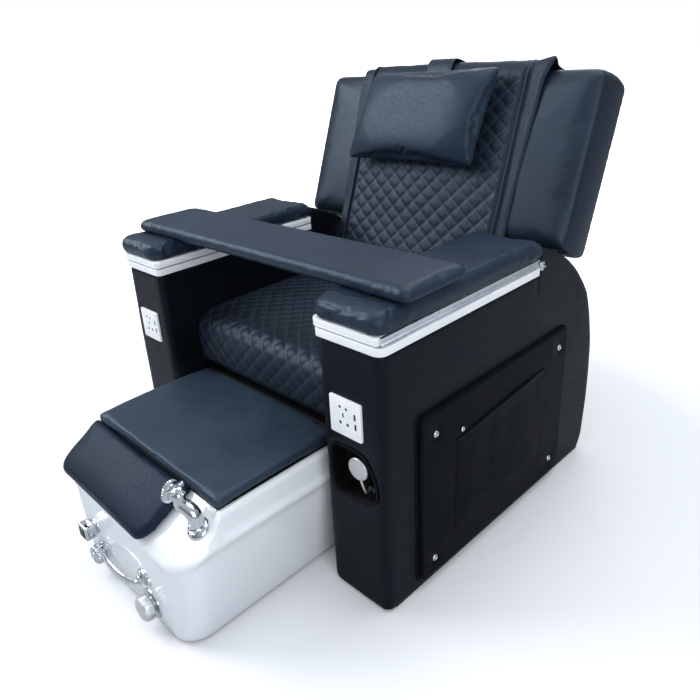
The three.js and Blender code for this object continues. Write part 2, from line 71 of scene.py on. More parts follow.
def BK(v):
    """Backrest coordinates (x, depth behind the front plane, distance up the slope) to millimetres."""
    v = np.asarray(v, float).reshape(-1, 3)
    x, y, u = v[:, 0], v[:, 1], v[:, 2]
    return np.stack([x, 675 + u * SN + y * CS, 625 + u * CS - y * SN], 1)


# ------------------------------------------------------------------ numbers
def smooth01(t):
    t = np.clip(t, 0, 1)
    return t * t * (3 - 2 * t)


def hash3(a, b, c, seed):
    n = (a * 73856093) ^ (b * 19349663) ^ (c * 83492791) ^ (seed * 2654435761)
    n = (n ^ (n >> 13)) * 1274126177
    n = n ^ (n >> 16)
    return (n & 0xFFFF) / 32767.5 - 1


def vnoise(p, scale, seed=0):
    """Smooth value noise in -1..1 at a feature size in millimetres."""
    p = np.asarray(p, float).reshape(-1, 3) / scale + 1000.37
    i = np.floor(p).astype(np.int64)
    f = p - i
    u = f * f * f * (f * (f * 6 - 15) + 10)
    out = 0
    for dx in (0, 1):
        for dy in (0, 1):
            for dz in (0, 1):
                w = (
                    (u[:, 0] if dx else 1 - u[:, 0])
                    * (u[:, 1] if dy else 1 - u[:, 1])
                    * (u[:, 2] if dz else 1 - u[:, 2])
                )
                out = out + w * hash3(i[:, 0] + dx, i[:, 1] + dy, i[:, 2] + dz, seed)
    return out


def folds(p, seed=0):
    """Ridged noise in 0..1: thin raised lines, as in creased leather."""
    return (1 - np.abs(p)) ** 3


def spaced(lo, hi, step, edge):
    """Positions from lo to hi, closer together within edge of either end."""
    edge = min(edge, (hi - lo) * 0.45)
    k = 6
    e = edge * (1 - np.cos(np.linspace(0, math.pi / 2, k + 1)))
    mid = np.linspace(lo + edge, hi - edge, max(2, int(round((hi - lo - 2 * edge) / step)) + 1))
    return np.concatenate([lo + e[:-1], mid, (hi - e[:-1])[::-1]])


def resample(points, step=None, n=None, closed=False, smooth=True):
    """Points along a polyline or a Catmull-Rom curve through the given points, evenly spaced."""
    p = np.asarray(points, float)
    if smooth:
        fine = []
        m = len(p)
        last = m if closed else m - 1
        for i in range(last):
            p0, p1, p2, p3 = (
                p[(i - 1) % m] if closed or i > 0 else 2 * p[0] - p[1],
                p[i],
                p[(i + 1) % m],
                p[(i + 2) % m] if closed or i + 2 < m else 2 * p[-1] - p[-2],
            )
            for t in np.linspace(0, 1, 12, endpoint=False):
                fine.append(
                    0.5
                    * (
                        2 * p1
                        + (p2 - p0) * t
                        + (2 * p0 - 5 * p1 + 4 * p2 - p3) * t * t
                        + (3 * p1 - p0 - 3 * p2 + p3) * t**3
                    )
                )
        if not closed:
            fine.append(p[-1])
        p = np.array(fine)
    if closed:
        p = np.vstack([p, p[:1]])
    s = np.concatenate([[0], np.cumsum(np.linalg.norm(np.diff(p, axis=0), axis=1))])
    if n is None:
        n = max(3, int(round(s[-1] / step)) + 1)
    q = np.linspace(0, s[-1], n + 1 if closed else n)
    if closed:
        q = q[:-1]
    return np.stack([np.interp(q, s, p[:, k]) for k in range(p.shape[1])], 1)


def along(points):
    """A function from distance along a smooth open curve to (points, unit tangents), and its length."""
    p = resample(points, n=400)
    s = np.concatenate([[0], np.cumsum(np.linalg.norm(np.diff(p, axis=0), axis=1))])
    t = np.gradient(p, s, axis=0)
    t /= np.linalg.norm(t, axis=1)[:, None]

    def at(q):
        q = np.asarray(q, float)
        a = np.stack([np.interp(q, s, p[:, k]) for k in range(p.shape[1])], -1)
        b = np.stack([np.interp(q, s, t[:, k]) for k in range(p.shape[1])], -1)
        return a, b

    return at, s[-1]


# ------------------------------------------------------------------ meshes
def make(name, verts, faces, body, material, back=False, sharp=40, slot=None, stands=(), stitch=None):
    v = BK(verts) if back else np.asarray(verts, float)
    me = bpy.data.meshes.new(name)
    me.from_pydata([tuple(map(float, p)) for p in W(v)], [], [tuple(map(int, f)) for f in faces])
    if stitch is not None:
        values = np.zeros(len(me.vertices), np.float32)
        values[: len(stitch)] = stitch
        me.attributes.new("stitch", "FLOAT", "POINT").data.foreach_set("value", values)
    bm = bmesh.new()
    bm.from_mesh(me)
    bmesh.ops.remove_doubles(bm, verts=bm.verts, dist=1e-6)
    bmesh.ops.dissolve_degenerate(bm, dist=1e-7, edges=bm.edges)
    bmesh.ops.recalc_face_normals(bm, faces=bm.faces)
    bm.to_mesh(me)
    bm.free()
    me.validate()
    ob = bpy.data.objects.new(name, me)
    bpy.context.scene.collection.objects.link(ob)
    finish_mesh(ob, sharp)
    if material is not None:
        me.materials.append(material)
    if body:
        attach(ob, body)
    if stands:
        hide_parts(*stands)
    return ob


def finish_mesh(ob, sharp=40):
    me = ob.data
    me.polygons.foreach_set("use_smooth", [True] * len(me.polygons))
    if sharp < 180:
        me.set_sharp_from_angle(angle=math.radians(sharp))
    me.update()


def applied(ob):
    """Applies the object's modifiers to its mesh."""
    dg = bpy.context.evaluated_depsgraph_get()
    dg.update()
    me = bpy.data.meshes.new_from_object(ob.evaluated_get(dg))
    old = ob.data
    ob.modifiers.clear()
    ob.data = me
    me.name = ob.name
    if old.users == 0:
        bpy.data.meshes.remove(old)
    return ob


def verts_of(ob):
    v = np.zeros(len(ob.data.vertices) * 3, np.float32)
    ob.data.vertices.foreach_get("co", v)
    v = v.reshape(-1, 3).astype(float) * 1000
    v[:, 1] += OY
    return v


def set_verts(ob, v):
    ob.data.vertices.foreach_set("co", W(v).astype(np.float32).ravel())
    ob.data.update()


def normals_of(ob):
    n = np.zeros(len(ob.data.vertices) * 3, np.float32)
    ob.data.vertices.foreach_get("normal", n)
    return n.reshape(-1, 3).astype(float)


def rounded(a0, b0, a1, b1, r, n=8):
    rr = list(r) if isinstance(r, (list, tuple)) else [r] * 4
    pts = []
    for i, (a, b, st) in enumerate([(a0, b0, 180), (a1, b0, 270), (a1, b1, 0), (a0, b1, 90)]):
        q = max(rr[i], 1e-3)
        ca, cb = a + (q if i in (0, 3) else -q), b + (q if i < 2 else -q)
        for k in range(n + 1):
            t = math.radians(st + 90 * k / n)
            pts.append((ca + q * math.cos(t), cb + q * math.sin(t)))
    return np.array(pts)


def loft(rings, close_start=True, close_end=True):
    """Faces and vertices of a stack of equal rings."""
    n = len(rings[0])
    v = np.vstack(rings)
    f = []
    for k in range(len(rings) - 1):
        for i in range(n):
            j = (i + 1) % n
            f.append((k * n + i, k * n + j, (k + 1) * n + j, (k + 1) * n + i))
    if close_start:
        f.append(tuple(range(n))[::-1])
    if close_end:
        f.append(tuple(range((len(rings) - 1) * n, len(rings) * n)))
    return v, f


def slab(outline, levels, frame_fn):
    """A solid from a plan outline function offset -> points, at (offset, height) levels."""
    rings = []
    for o, h in levels:
        p = outline(o)
        rings.append(frame_fn(p[:, 0], p[:, 1], np.full(len(p), float(h))))
    return loft(rings)


def lathe(profile, at, direction, n=48):
    """Turned piece: (radius, along) from a point along a direction."""
    d = np.array(direction, float)
    d /= np.linalg.norm(d)
    a = np.cross(d, [0, 0, 1.0] if abs(d[2]) < 0.9 else [1.0, 0, 0])
    a /= np.linalg.norm(a)
    b = np.cross(d, a)
    t = np.linspace(0, 2 * math.pi, n, endpoint=False)
    at = np.array(at, float)
    rings = []
    for r, h in profile:
        rr = r(t) if callable(r) else r
        rings.append(at + d * h + (a * np.cos(t)[:, None] + b * np.sin(t)[:, None]) * np.reshape(np.broadcast_to(max(r, 1e-4) if not callable(r) else rr, n), (n, 1)))
    return loft(rings)


def sweep(points, radius, n=20, step=3.0, ends=True, smooth=True, shape=None):
    """Tube along a curve. radius is a number or a function of 0..1 along it."""
    p = resample(points, step=step, smooth=smooth)
    m = len(p)
    t = np.gradient(p, axis=0)
    t /= np.linalg.norm(t, axis=1)[:, None]
    nrm = np.cross(t[0], [0, 0, 1.0] if abs(t[0][2]) < 0.9 else [1.0, 0, 0])
    nrm /= np.linalg.norm(nrm)
    rings = []
    ang = np.linspace(0, 2 * math.pi, n, endpoint=False)
    for k in range(m):
        nrm = nrm - t[k] * np.dot(nrm, t[k])
        nrm /= np.linalg.norm(nrm)
        bn = np.cross(t[k], nrm)
        r = radius(k / (m - 1)) if callable(radius) else radius
        sx, sy = shape if shape else (1, 1)
        rings.append(p[k] + r * (sx * nrm * np.cos(ang)[:, None] + sy * bn * np.sin(ang)[:, None]))
    if ends:
        r0 = (radius(0) if callable(radius) else radius) * 0.5
        r1 = (radius(1) if callable(radius) else radius) * 0.5
        rings.insert(0, p[0] - t[0] * r0 * 0.4 + (rings[0] - p[0]) * 0.55)
        rings.append(p[-1] + t[-1] * r1 * 0.4 + (rings[-1] - p[-1]) * 0.55)
    return loft(rings)


def merged(*shapes):
    v, f, n = [], [], 0
    for a, b in shapes:
        v.append(np.asarray(a))
        f += [tuple(i + n for i in q) for q in b]
        n += len(a)
    return np.vstack(v), f


def bevelled(name, parts, body, material, width=1.2, segments=2, sharp=30, **kw):
    """A piece from polygon solids with bevelled edges."""
    v, f = parts
    ob = make(name, v, f, None, material, sharp=sharp)
    m = ob.modifiers.new("b", "BEVEL")
    m.width = width / 1000
    m.segments = segments
    m.limit_method = "ANGLE"
    m.angle_limit = math.radians(35)
    m.harden_normals = False
    applied(ob)
    finish_mesh(ob, sharp)
    back = kw.pop("back", False)
    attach(ob, body)
    if kw.get("stands"):
        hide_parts(*kw["stands"])
    return ob


def box(x0, x1, y0, y1, z0, z1):
    v = [(x, y, z) for z in (z0, z1) for x, y in ((x0, y0), (x1, y0), (x1, y1), (x0, y1))]
    return np.array(v, float), [(3, 2, 1, 0), (4, 5, 6, 7), (0, 1, 5, 4), (1, 2, 6, 5), (2, 3, 7, 6), (3, 0, 4, 7)]


def prism(pts, axis, a, b):
    p = np.asarray(pts, float)
    def ring(h):
        h = np.full(len(p), float(h))
        return {
            "x": np.stack([h, p[:, 0], p[:, 1]], 1),
            "y": np.stack([p[:, 0], h, p[:, 1]], 1),
            "z": np.stack([p[:, 0], p[:, 1], h], 1),
        }[axis]
    return loft([ring(a), ring(b)])


def inside_distance(A, B, a0, a1, b0, b1, R):
    """Distance in from the edge of a rounded rectangle with a radius for each corner."""
    rr = list(R) if isinstance(R, (list, tuple)) else [R] * 4
    ca, cb, ha, hb = (a0 + a1) / 2, (b0 + b1) / 2, (a1 - a0) / 2, (b1 - b0) / 2
    r = np.where(B < cb, np.where(A < ca, rr[0], rr[1]), np.where(A < ca, rr[3], rr[2]))
    qa, qb = np.abs(A - ca) - (ha - r), np.abs(B - cb) - (hb - r)
    sd = np.hypot(np.maximum(qa, 0), np.maximum(qb, 0)) + np.minimum(np.maximum(qa, qb), 0) - r
    return -sd


def pad(name, a, b, R, top, bot, place, body, material, step=7.0, edge=14.0, wall=None, place_bot=None, aspace=None, bspace=None, paint=None, **kw):
    """Closed upholstered form: an upper and a lower sheet over a rounded rectangle, joined at the rim or by a wall."""
    rr = list(R) if isinstance(R, (list, tuple)) else [R] * 4
    a0, a1 = a
    b0, b1 = b
    bs = bspace if bspace is not None else spaced(b0, b1, step, edge)
    t = (aspace if aspace is not None else spaced(a0, a1, step, edge))
    t = (t - a0) / (a1 - a0)
    rows_a = []
    for q in bs:
        lo, hi = a0, a1
        for d, left, right in ((q - b0, rr[0], rr[1]), (b1 - q, rr[3], rr[2])):
            if d < left:
                lo = a0 + left - math.sqrt(max(left**2 - (left - d) ** 2, 0))
            if d < right:
                hi = a1 - right + math.sqrt(max(right**2 - (right - d) ** 2, 0))
        rows_a.append(lo + (hi - lo) * t)
    A = np.array(rows_a)
    B = np.repeat(bs[:, None], len(t), 1)
    nb, na = A.shape
    D = np.maximum(inside_distance(A.ravel(), B.ravel(), a0, a1, b0, b1, rr), 0)
    D = D.reshape(nb, na)
    D[0, :] = D[-1, :] = 0
    D[:, 0] = D[:, -1] = 0
    D = D.ravel()
    Af, Bf = A.ravel(), B.ravel()
    up = place(Af, Bf, top(Af, Bf, D))
    dn = (place_bot or place)(Af, Bf, bot(Af, Bf, D))
    verts = [up, dn]
    if paint is not None:
        kw["stitch"] = paint(Af, Bf, D)
    off = nb * na
    grid = np.arange(off).reshape(nb, na)
    faces = []
    for g, flip in ((grid, False), (grid + off, True)):
        for j in range(nb - 1):
            for i in range(na - 1):
                q = (g[j, i], g[j, i + 1], g[j + 1, i + 1], g[j + 1, i])
                faces.append(q[::-1] if flip else q)
    ring = np.concatenate([grid[0, :-1], grid[:-1, -1], grid[-1, :0:-1], grid[:0:-1, 0]])
    if wall:
        n, bulge = wall
        U, L = up[ring], dn[ring]
        c = (up.mean(0) + dn.mean(0)) / 2
        ax = (U - L)
        ax = ax / np.maximum(np.linalg.norm(ax, axis=1), 1e-9)[:, None]
        nxt, prv = np.roll((U + L) / 2, -1, 0), np.roll((U + L) / 2, 1, 0)
        tang = nxt - prv
        outn = np.cross(tang, ax)
        outn /= np.maximum(np.linalg.norm(outn, axis=1), 1e-9)[:, None]
        if np.mean(np.sum(outn * ((U + L) / 2 - c), 1)) < 0:
            outn = -outn
        last = grid.ravel()[ring]
        count = 2 * off
        for k in range(1, n + 1):
            q = k / (n + 1)
            pos = U * (1 - q) + L * q + outn * bulge * math.sin(math.pi * q)
            verts.append(pos)
            cur = np.arange(count, count + len(ring))
            for i in range(len(ring)):
                j = (i + 1) % len(ring)
                faces.append((last[i], cur[i], cur[j], last[j]))
            last = cur
            count += len(ring)
        cur = ring + off
        for i in range(len(ring)):
            j = (i + 1) % len(ring)
            faces.append((last[i], cur[i], cur[j], last[j]))
    else:
        cur = ring + off
        for i in range(len(ring)):
            j = (i + 1) % len(ring)
            faces.append((ring[i], cur[i], cur[j], ring[j]))
    return make(name, np.vstack(verts), faces, body, material, **kw)


def edge_round(D, r, h, power=2.0):
    """Height that rises from 0 at the rim to h at distance r, as a quarter ellipse."""
    q = np.clip(1 - D / r, 0, 1)
    return h * (1 - q**power) ** (1 / power)


def voxel(ob, size, smooth=4):
    m = ob.modifiers.new("v", "REMESH")
    m.mode = "VOXEL"
    m.voxel_size = size / 1000
    m.adaptivity = 0
    if smooth:
        s = ob.modifiers.new("s", "SMOOTH")
        s.factor = 0.5
        s.iterations = smooth
    return applied(ob)


def subtract(ob, cutter_parts):
    v, f = cutter_parts
    c = make("cutter", v, f, None, None)
    m = ob.modifiers.new("c", "BOOLEAN")
    m.operation = "DIFFERENCE"
    m.solver = "EXACT"
    m.object = c
    applied(ob)
    bpy.data.objects.remove(c)
    return ob


def puff(ob, pressure=4.0, frames=20, cap=12.0, voxel_mm=5.0, shrink=0.0, hold=None, mass=0.15, bend=0.4, limit=None, weight=None):
    """Cloth simulation: the closed form is inflated for a few frames, each point moving at most cap."""
    start_parent = ob.parent
    if voxel_mm:
        voxel(ob, voxel_mm, 2)
    rest = verts_of(ob)
    rest_n = normals_of(ob)
    sc = bpy.context.scene
    m = ob.modifiers.new("cloth", "CLOTH")
    s = m.settings
    s.quality = 5
    s.mass = mass
    s.tension_stiffness = 12
    s.compression_stiffness = 12
    s.shear_stiffness = 4
    s.bending_stiffness = bend
    s.use_pressure = True
    s.uniform_pressure_force = pressure
    s.shrink_min = shrink
    s.effector_weights.gravity = 0
    m.collision_settings.use_collision = False
    m.collision_settings.use_self_collision = False
    if hold is not None:
        g = ob.vertex_groups.new(name="hold")
        idx = np.nonzero(hold(rest))[0]
        g.add([int(i) for i in idx], 1.0, "REPLACE")
        s.vertex_group_mass = "hold"
    m.point_cache.frame_start = 1
    m.point_cache.frame_end = frames + 1
    for k in range(1, frames + 1):
        sc.frame_set(k)
    applied(ob)
    sc.frame_set(1)
    v = verts_of(ob)
    d = v - rest
    length = np.linalg.norm(d, axis=1)
    d *= (np.minimum(length, cap) / np.maximum(length, 1e-9))[:, None]
    if weight is not None:
        d *= weight(rest, rest_n)[:, None]
    v = rest + d
    if limit is not None:
        v = limit(v)
    set_verts(ob, v)
    return ob


def snap_loop(ob, points, rounds=3):
    """Moves a closed row of points onto the nearest points of a piece, and evens the row out."""
    kd = KDTree(len(ob.data.vertices))
    for i, p in enumerate(verts_of(ob)):
        kd.insert(p, i)
    kd.balance()
    q = np.array([kd.find(Vector(p))[0] for p in points])
    for _ in range(rounds):
        q = (np.roll(q, 1, 0) + 2 * q + np.roll(q, -1, 0)) / 4
    return q


# ------------------------------------------------------------------ materials
def srgb(r, g, b):
    def lin(c):
        c /= 255
        return c / 12.92 if c <= 0.04045 else ((c + 0.055) / 1.055) ** 2.4

    return (lin(r), lin(g), lin(b), 1)


class Nodes:
    def __init__(self, name):
        self.mat = bpy.data.materials.new(name)
        self.mat.use_nodes = True
        self.t = self.mat.node_tree
        self.t.nodes.clear()
        self.out = self.t.nodes.new("ShaderNodeOutputMaterial")
        self.bsdf = self.t.nodes.new("ShaderNodeBsdfPrincipled")
        self.t.links.new(self.bsdf.outputs[0], self.out.inputs[0])
        self.co = self.t.nodes.new("ShaderNodeTexCoord").outputs["Object"]

    def n(self, kind, **kw):
        node = self.t.nodes.new(kind)
        for k, v in kw.items():
            if k in node.inputs:
                self.set(node.inputs[k], v)
            else:
                setattr(node, k, v)
        return node

    def set(self, socket, v):
        if isinstance(v, bpy.types.NodeSocket):
            self.t.links.new(v, socket)
        else:
            socket.default_value = v

    def noise(self, scale, detail=3.0, rough=0.55, co=None, dist=0.0):
        n = self.n("ShaderNodeTexNoise")
        n.inputs["Scale"].default_value = scale
        n.inputs["Detail"].default_value = detail
        n.inputs["Roughness"].default_value = rough
        n.inputs["Distortion"].default_value = dist
        self.t.links.new(co or self.co, n.inputs["Vector"])
        return n.outputs["Fac"]

    def cells(self, scale, feature="F1", co=None, rand=1.0):
        n = self.n("ShaderNodeTexVoronoi")
        n.feature = feature
        n.inputs["Scale"].default_value = scale
        n.inputs["Randomness"].default_value = rand
        self.t.links.new(co or self.co, n.inputs["Vector"])
        return n.outputs["Distance"]

    def stretch(self, sx, sy, sz):
        n = self.n("ShaderNodeMapping")
        n.inputs["Scale"].default_value = (sx, sy, sz)
        self.t.links.new(self.co, n.inputs["Vector"])
        return n.outputs[0]

    def ramp(self, fac, stops):
        n = self.n("ShaderNodeValToRGB")
        self.t.links.new(fac, n.inputs["Fac"])
        e = n.color_ramp.elements
        while len(e) < len(stops):
            e.new(0.5)
        for el, (pos, col) in zip(e, stops):
            el.position = pos
            el.color = col if len(col) == 4 else (*col, 1)
        return n.outputs["Color"]

    def remap(self, fac, lo, hi, a=0.0, b=1.0):
        n = self.n("ShaderNodeMapRange")
        n.inputs["From Min"].default_value = a
        n.inputs["From Max"].default_value = b
        n.inputs["To Min"].default_value = lo
        n.inputs["To Max"].default_value = hi
        self.t.links.new(fac, n.inputs["Value"])
        return n.outputs["Result"]

    def math(self, op, a, b=0.0):
        n = self.n("ShaderNodeMath")
        n.operation = op
        self.set(n.inputs[0], a)
        self.set(n.inputs[1], b)
        return n.outputs[0]

    def mix(self, fac, a, b):
        n = self.n("ShaderNodeMix")
        n.data_type = "RGBA"
        self.set(n.inputs[0], fac)
        self.set(n.inputs[6], a)
        self.set(n.inputs[7], b)
        return n.outputs[2]

    def bump(self, height, strength=0.3, distance=0.001, normal=None):
        n = self.n("ShaderNodeBump")
        n.inputs["Strength"].default_value = strength
        n.inputs["Distance"].default_value = distance
        self.t.links.new(height, n.inputs["Height"])
        if normal is not None:
            self.t.links.new(normal, n.inputs["Normal"])
        return n.outputs[0]

    def put(self, **kw):
        for k, v in kw.items():
            key = k.replace("_", " ")
            self.set(self.bsdf.inputs[key], v)
        return self.mat


def leather(name, dark, light, rough=0.42, grain=1.0, crease=0.25, spec=0.5, tint=(0.64, 0.83, 1.0, 1), quilted=False):
    m = Nodes(name)
    big = m.noise(5.0, 4, 0.6)
    fine = m.noise(140, 3, 0.6)
    pebble = m.cells(780)
    pits = m.noise(1500, 2, 0.5)
    edge_highlight = m.n("ShaderNodeNewGeometry").outputs["Pointiness"]
    col = m.mix(m.remap(big, 0, 1, 0.3, 0.7), dark, light)
    col = m.mix(m.remap(fine, 0, 0.35, 0.45, 0.75), col, light)
    # lighter colour on convex edges: painted highlight along the edges
    col = m.mix(m.remap(edge_highlight, 0, 0.35, 0.52, 0.6), col, tuple([min(1, c * 2.2) for c in light[:3]] + [1]))
    r = m.math("ADD", m.remap(fine, rough - 0.05, rough + 0.07, 0.3, 0.7), m.remap(big, -0.03, 0.04, 0.3, 0.7))
    g = m.math("ADD", m.math("MULTIPLY", m.remap(pebble, 1.0, 0.0, 0.0, 0.75), 0.8), m.math("MULTIPLY", pits, 0.3))
    crease_co = m.stretch(1, 1, 1)
    cr = m.noise(38, 5, 0.62, crease_co, 0.8)
    line = m.remap(m.math("ABSOLUTE", m.math("SUBTRACT", cr, 0.5)), 0, 1, 0, 0.09)
    b1 = m.bump(line, crease * 0.5, 0.0011)
    b2 = m.bump(g, 0.22 * grain, 0.00032, b1)
    if quilted:
        at = m.n("ShaderNodeAttribute")
        at.attribute_name = "stitch"
        dash = m.noise(520, 1, 0.5)
        line = m.math("MULTIPLY", at.outputs["Fac"], m.remap(dash, 0.25, 1.0, 0.42, 0.58))
        col = m.mix(m.remap(line, 0, 0.7), col, srgb(86, 99, 119))
    return m.put(Base_Color=col, Roughness=r, Normal=b2, IOR=1.5, Specular_IOR_Level=spec, Specular_Tint=tint)


# copies of one black leather, each with its own colour and shine to paint the light on its part: the pad, lid and
# footrest copies lighter and bluer as painted light on lit tops and faces, the side and panel copies darker as painted
# shade on the arm sides, panels and back
LEATHER = leather("leather_black", srgb(15, 20, 30), srgb(27, 36, 50), 0.42, 0.9, 0.1, 0.45)
LEATHER_PAD_LIT = leather("leather_pad_lit", srgb(21, 30, 44), srgb(33, 45, 61), 0.43, 0.9, 0.1, 0.41)
LEATHER_SIDE_SHADED = leather("leather_side_shaded", srgb(7, 9, 13), srgb(13, 16, 23), 0.42, 0.8, 0.05, 0.17)
LEATHER_PANEL_SHADED = leather("leather_panel_shaded", srgb(3, 4, 7), srgb(7, 9, 13), 0.43, 0.8, 0.12, 0.07)
LEATHER_FOOT_LIT = leather("leather_foot_lit", srgb(13, 20, 33), srgb(22, 32, 50), 0.46, 0.9, 0.1, 0.2, (0.6, 0.8, 1.0, 1))
LEATHER_LID_LIT = leather("leather_lid_lit", srgb(31, 42, 55), srgb(46, 58, 72), 0.43, 0.9, 0.08, 0.42)
QUILT = leather("leather_quilted", srgb(16, 21, 30), srgb(29, 37, 50), 0.47, 1.1, 0.15, 0.38, quilted=True)


def thread(name, col):
    m = Nodes(name)
    co = m.stretch(1, 1, 1)
    w = m.noise(900, 2, 0.5, co)
    c = m.mix(m.remap(w, 0, 1, 0.35, 0.65), tuple([x * 0.7 for x in col[:3]] + [1]), col)
    return m.put(Base_Color=c, Roughness=m.remap(w, 0.55, 0.8), Normal=m.bump(w, 0.5, 0.0004))


# light grey tube material, used as a painted highlight along the pillow's top edge
THREAD_HIGHLIGHT = thread("thread_grey_highlight", srgb(96, 106, 120))
THREAD_DARK = thread("thread_dark", srgb(26, 30, 36))


def acrylic():
    m = Nodes("acrylic_white")
    big = m.noise(3.2, 3, 0.5)
    speck = m.noise(420, 2, 0.5)
    col = m.mix(m.remap(big, 0, 1, 0.3, 0.7), srgb(232, 236, 241), srgb(242, 245, 249))
    r = m.math("ADD", m.remap(big, 0.1, 0.17, 0.3, 0.7), m.remap(speck, 0, 0.03))
    wave = m.noise(9, 2, 0.4)
    return m.put(Base_Color=col, Roughness=r, IOR=1.49, Coat_Weight=0.35, Coat_Roughness=0.05, Normal=m.bump(wave, 0.05, 0.002, m.bump(speck, 0.02, 0.0002)), Subsurface_Weight=0.04, Subsurface_Radius=(0.01, 0.01, 0.01), Subsurface_Scale=0.3)


def trim_white():
    m = Nodes("trim_white")
    brush = m.noise(60, 3, 0.6, m.stretch(1, 0.05, 6))
    big = m.noise(14, 3, 0.5)
    col = m.mix(m.remap(big, 0, 1, 0.3, 0.7), srgb(240, 243, 247), srgb(252, 253, 255))
    return m.put(Base_Color=col, Roughness=m.remap(brush, 0.22, 0.36), Normal=m.bump(brush, 0.08, 0.0004), Coat_Weight=0.2, Coat_Roughness=0.1)


def metal(name, col, rough, brushed=None, scratch=0.3):
    m = Nodes(name)
    co = m.stretch(*brushed) if brushed else m.co
    n = m.noise(220, 4, 0.65, co)
    big = m.noise(22, 3, 0.5)
    c = m.mix(m.remap(big, 0, 1, 0.3, 0.7), tuple([x * 0.86 for x in col[:3]] + [1]), col)
    r = m.math("ADD", m.remap(n, rough * 0.7, rough * 1.35, 0.3, 0.7), m.remap(big, 0, 0.04, 0.4, 0.7))
    return m.put(Base_Color=c, Metallic=1.0, Roughness=r, Normal=m.bump(n, 0.06 * scratch, 0.0003))


CHROME = metal("chrome", srgb(216, 219, 223), 0.07)
SATIN = metal("chrome_satin", srgb(226, 228, 228), 0.42, None, 1.0)
SLIDE = metal("slide_steel", srgb(236, 239, 243), 0.34, (1, 0.06, 1), 1.0)
STEEL = metal("steel_rod", srgb(168, 172, 176), 0.3, (0.1, 1, 1), 1.0)
ACRYLIC = acrylic()
TRIM = trim_white()


def plastic(name, lo, hi, rough, bump=0.1, scale=700, spec=0.5):
    m = Nodes(name)
    n = m.noise(scale, 3, 0.6)
    big = m.noise(18, 3, 0.5)
    c = m.mix(m.remap(big, 0, 1, 0.3, 0.7), lo, hi)
    return m.put(Base_Color=c, Roughness=m.remap(n, rough - 0.05, rough + 0.08, 0.3, 0.7), Normal=m.bump(n, bump, 0.0003), Specular_IOR_Level=spec)


SOCKET = plastic("socket_white", srgb(240, 242, 246), srgb(252, 253, 254), 0.26, 0.04)
# near-black plastic for the plates behind the socket openings: painted shade inside the holes
HOLE_SHADE = plastic("socket_hole_shade_dark", srgb(8, 8, 9), srgb(16, 16, 18), 0.5)
# near-black, low-shine plastic: the release cup's own black deepened as painted shade in its recess, and painted shade
# for the dark strips at the side panels, under the lid and on the bath deck
NEAR_BLACK_AND_SHADE = plastic("near_black_and_shade", srgb(3, 3, 4), srgb(7, 7, 9), 0.6, 0.15, 700, 0.12)
BLACK = plastic("plastic_black", srgb(9, 9, 11), srgb(18, 18, 21), 0.42, 0.25)
RUBBER = plastic("rubber_black", srgb(16, 16, 17), srgb(30, 30, 31), 0.82, 0.5, 420)
PAINT = plastic("frame_paint", srgb(26, 27, 29), srgb(44, 45, 48), 0.5, 0.4, 900)


def wood():
    m = Nodes("plywood")
    co = m.stretch(0.5, 6, 6)
    g = m.noise(16, 6, 0.6, co, 1.2)
    c = m.ramp(g, [(0.25, srgb(120, 86, 50)), (0.5, srgb(168, 130, 84)), (0.75, srgb(190, 152, 104))])
    return m.put(Base_Color=c, Roughness=m.remap(g, 0.55, 0.75), Normal=m.bump(g, 0.2, 0.0006))


WOOD = wood()

# ------------------------------------------------------------------ arm boxes
ARM_PROFILE = [
    (0, 4.4), (0, 620), (545, 620), (545, 684), (550, 687), (564, 682), (602, 668), (634, 655), (663, 640),
    (700, 617), (730, 594), (752, 575), (769, 556), (792, 530), (812, 502), (826, 470), (837, 438), (850, 392),
    (862, 341), (868, 290), (871, 245), (871.5, 195), (871, 147), (869, 95), (866, 48), (858, 24), (845, 4.4),
]
CUP = [(324, 281), (352, 270), (401, 275), (437, 290), (437, 331), (422, 365), (402, 382), (360, 384), (324, 371)]
SOCKET_AT = {"left": (371, 462), "right": (-383, 464)}


def cup_line(grow, n=72):
    p = np.array(CUP, float)
    c = p.mean(0)
    q = resample(p, n=n, closed=True)
    d = q - c
    return c + d * (1 + grow / np.linalg.norm(d, axis=1))[:, None]


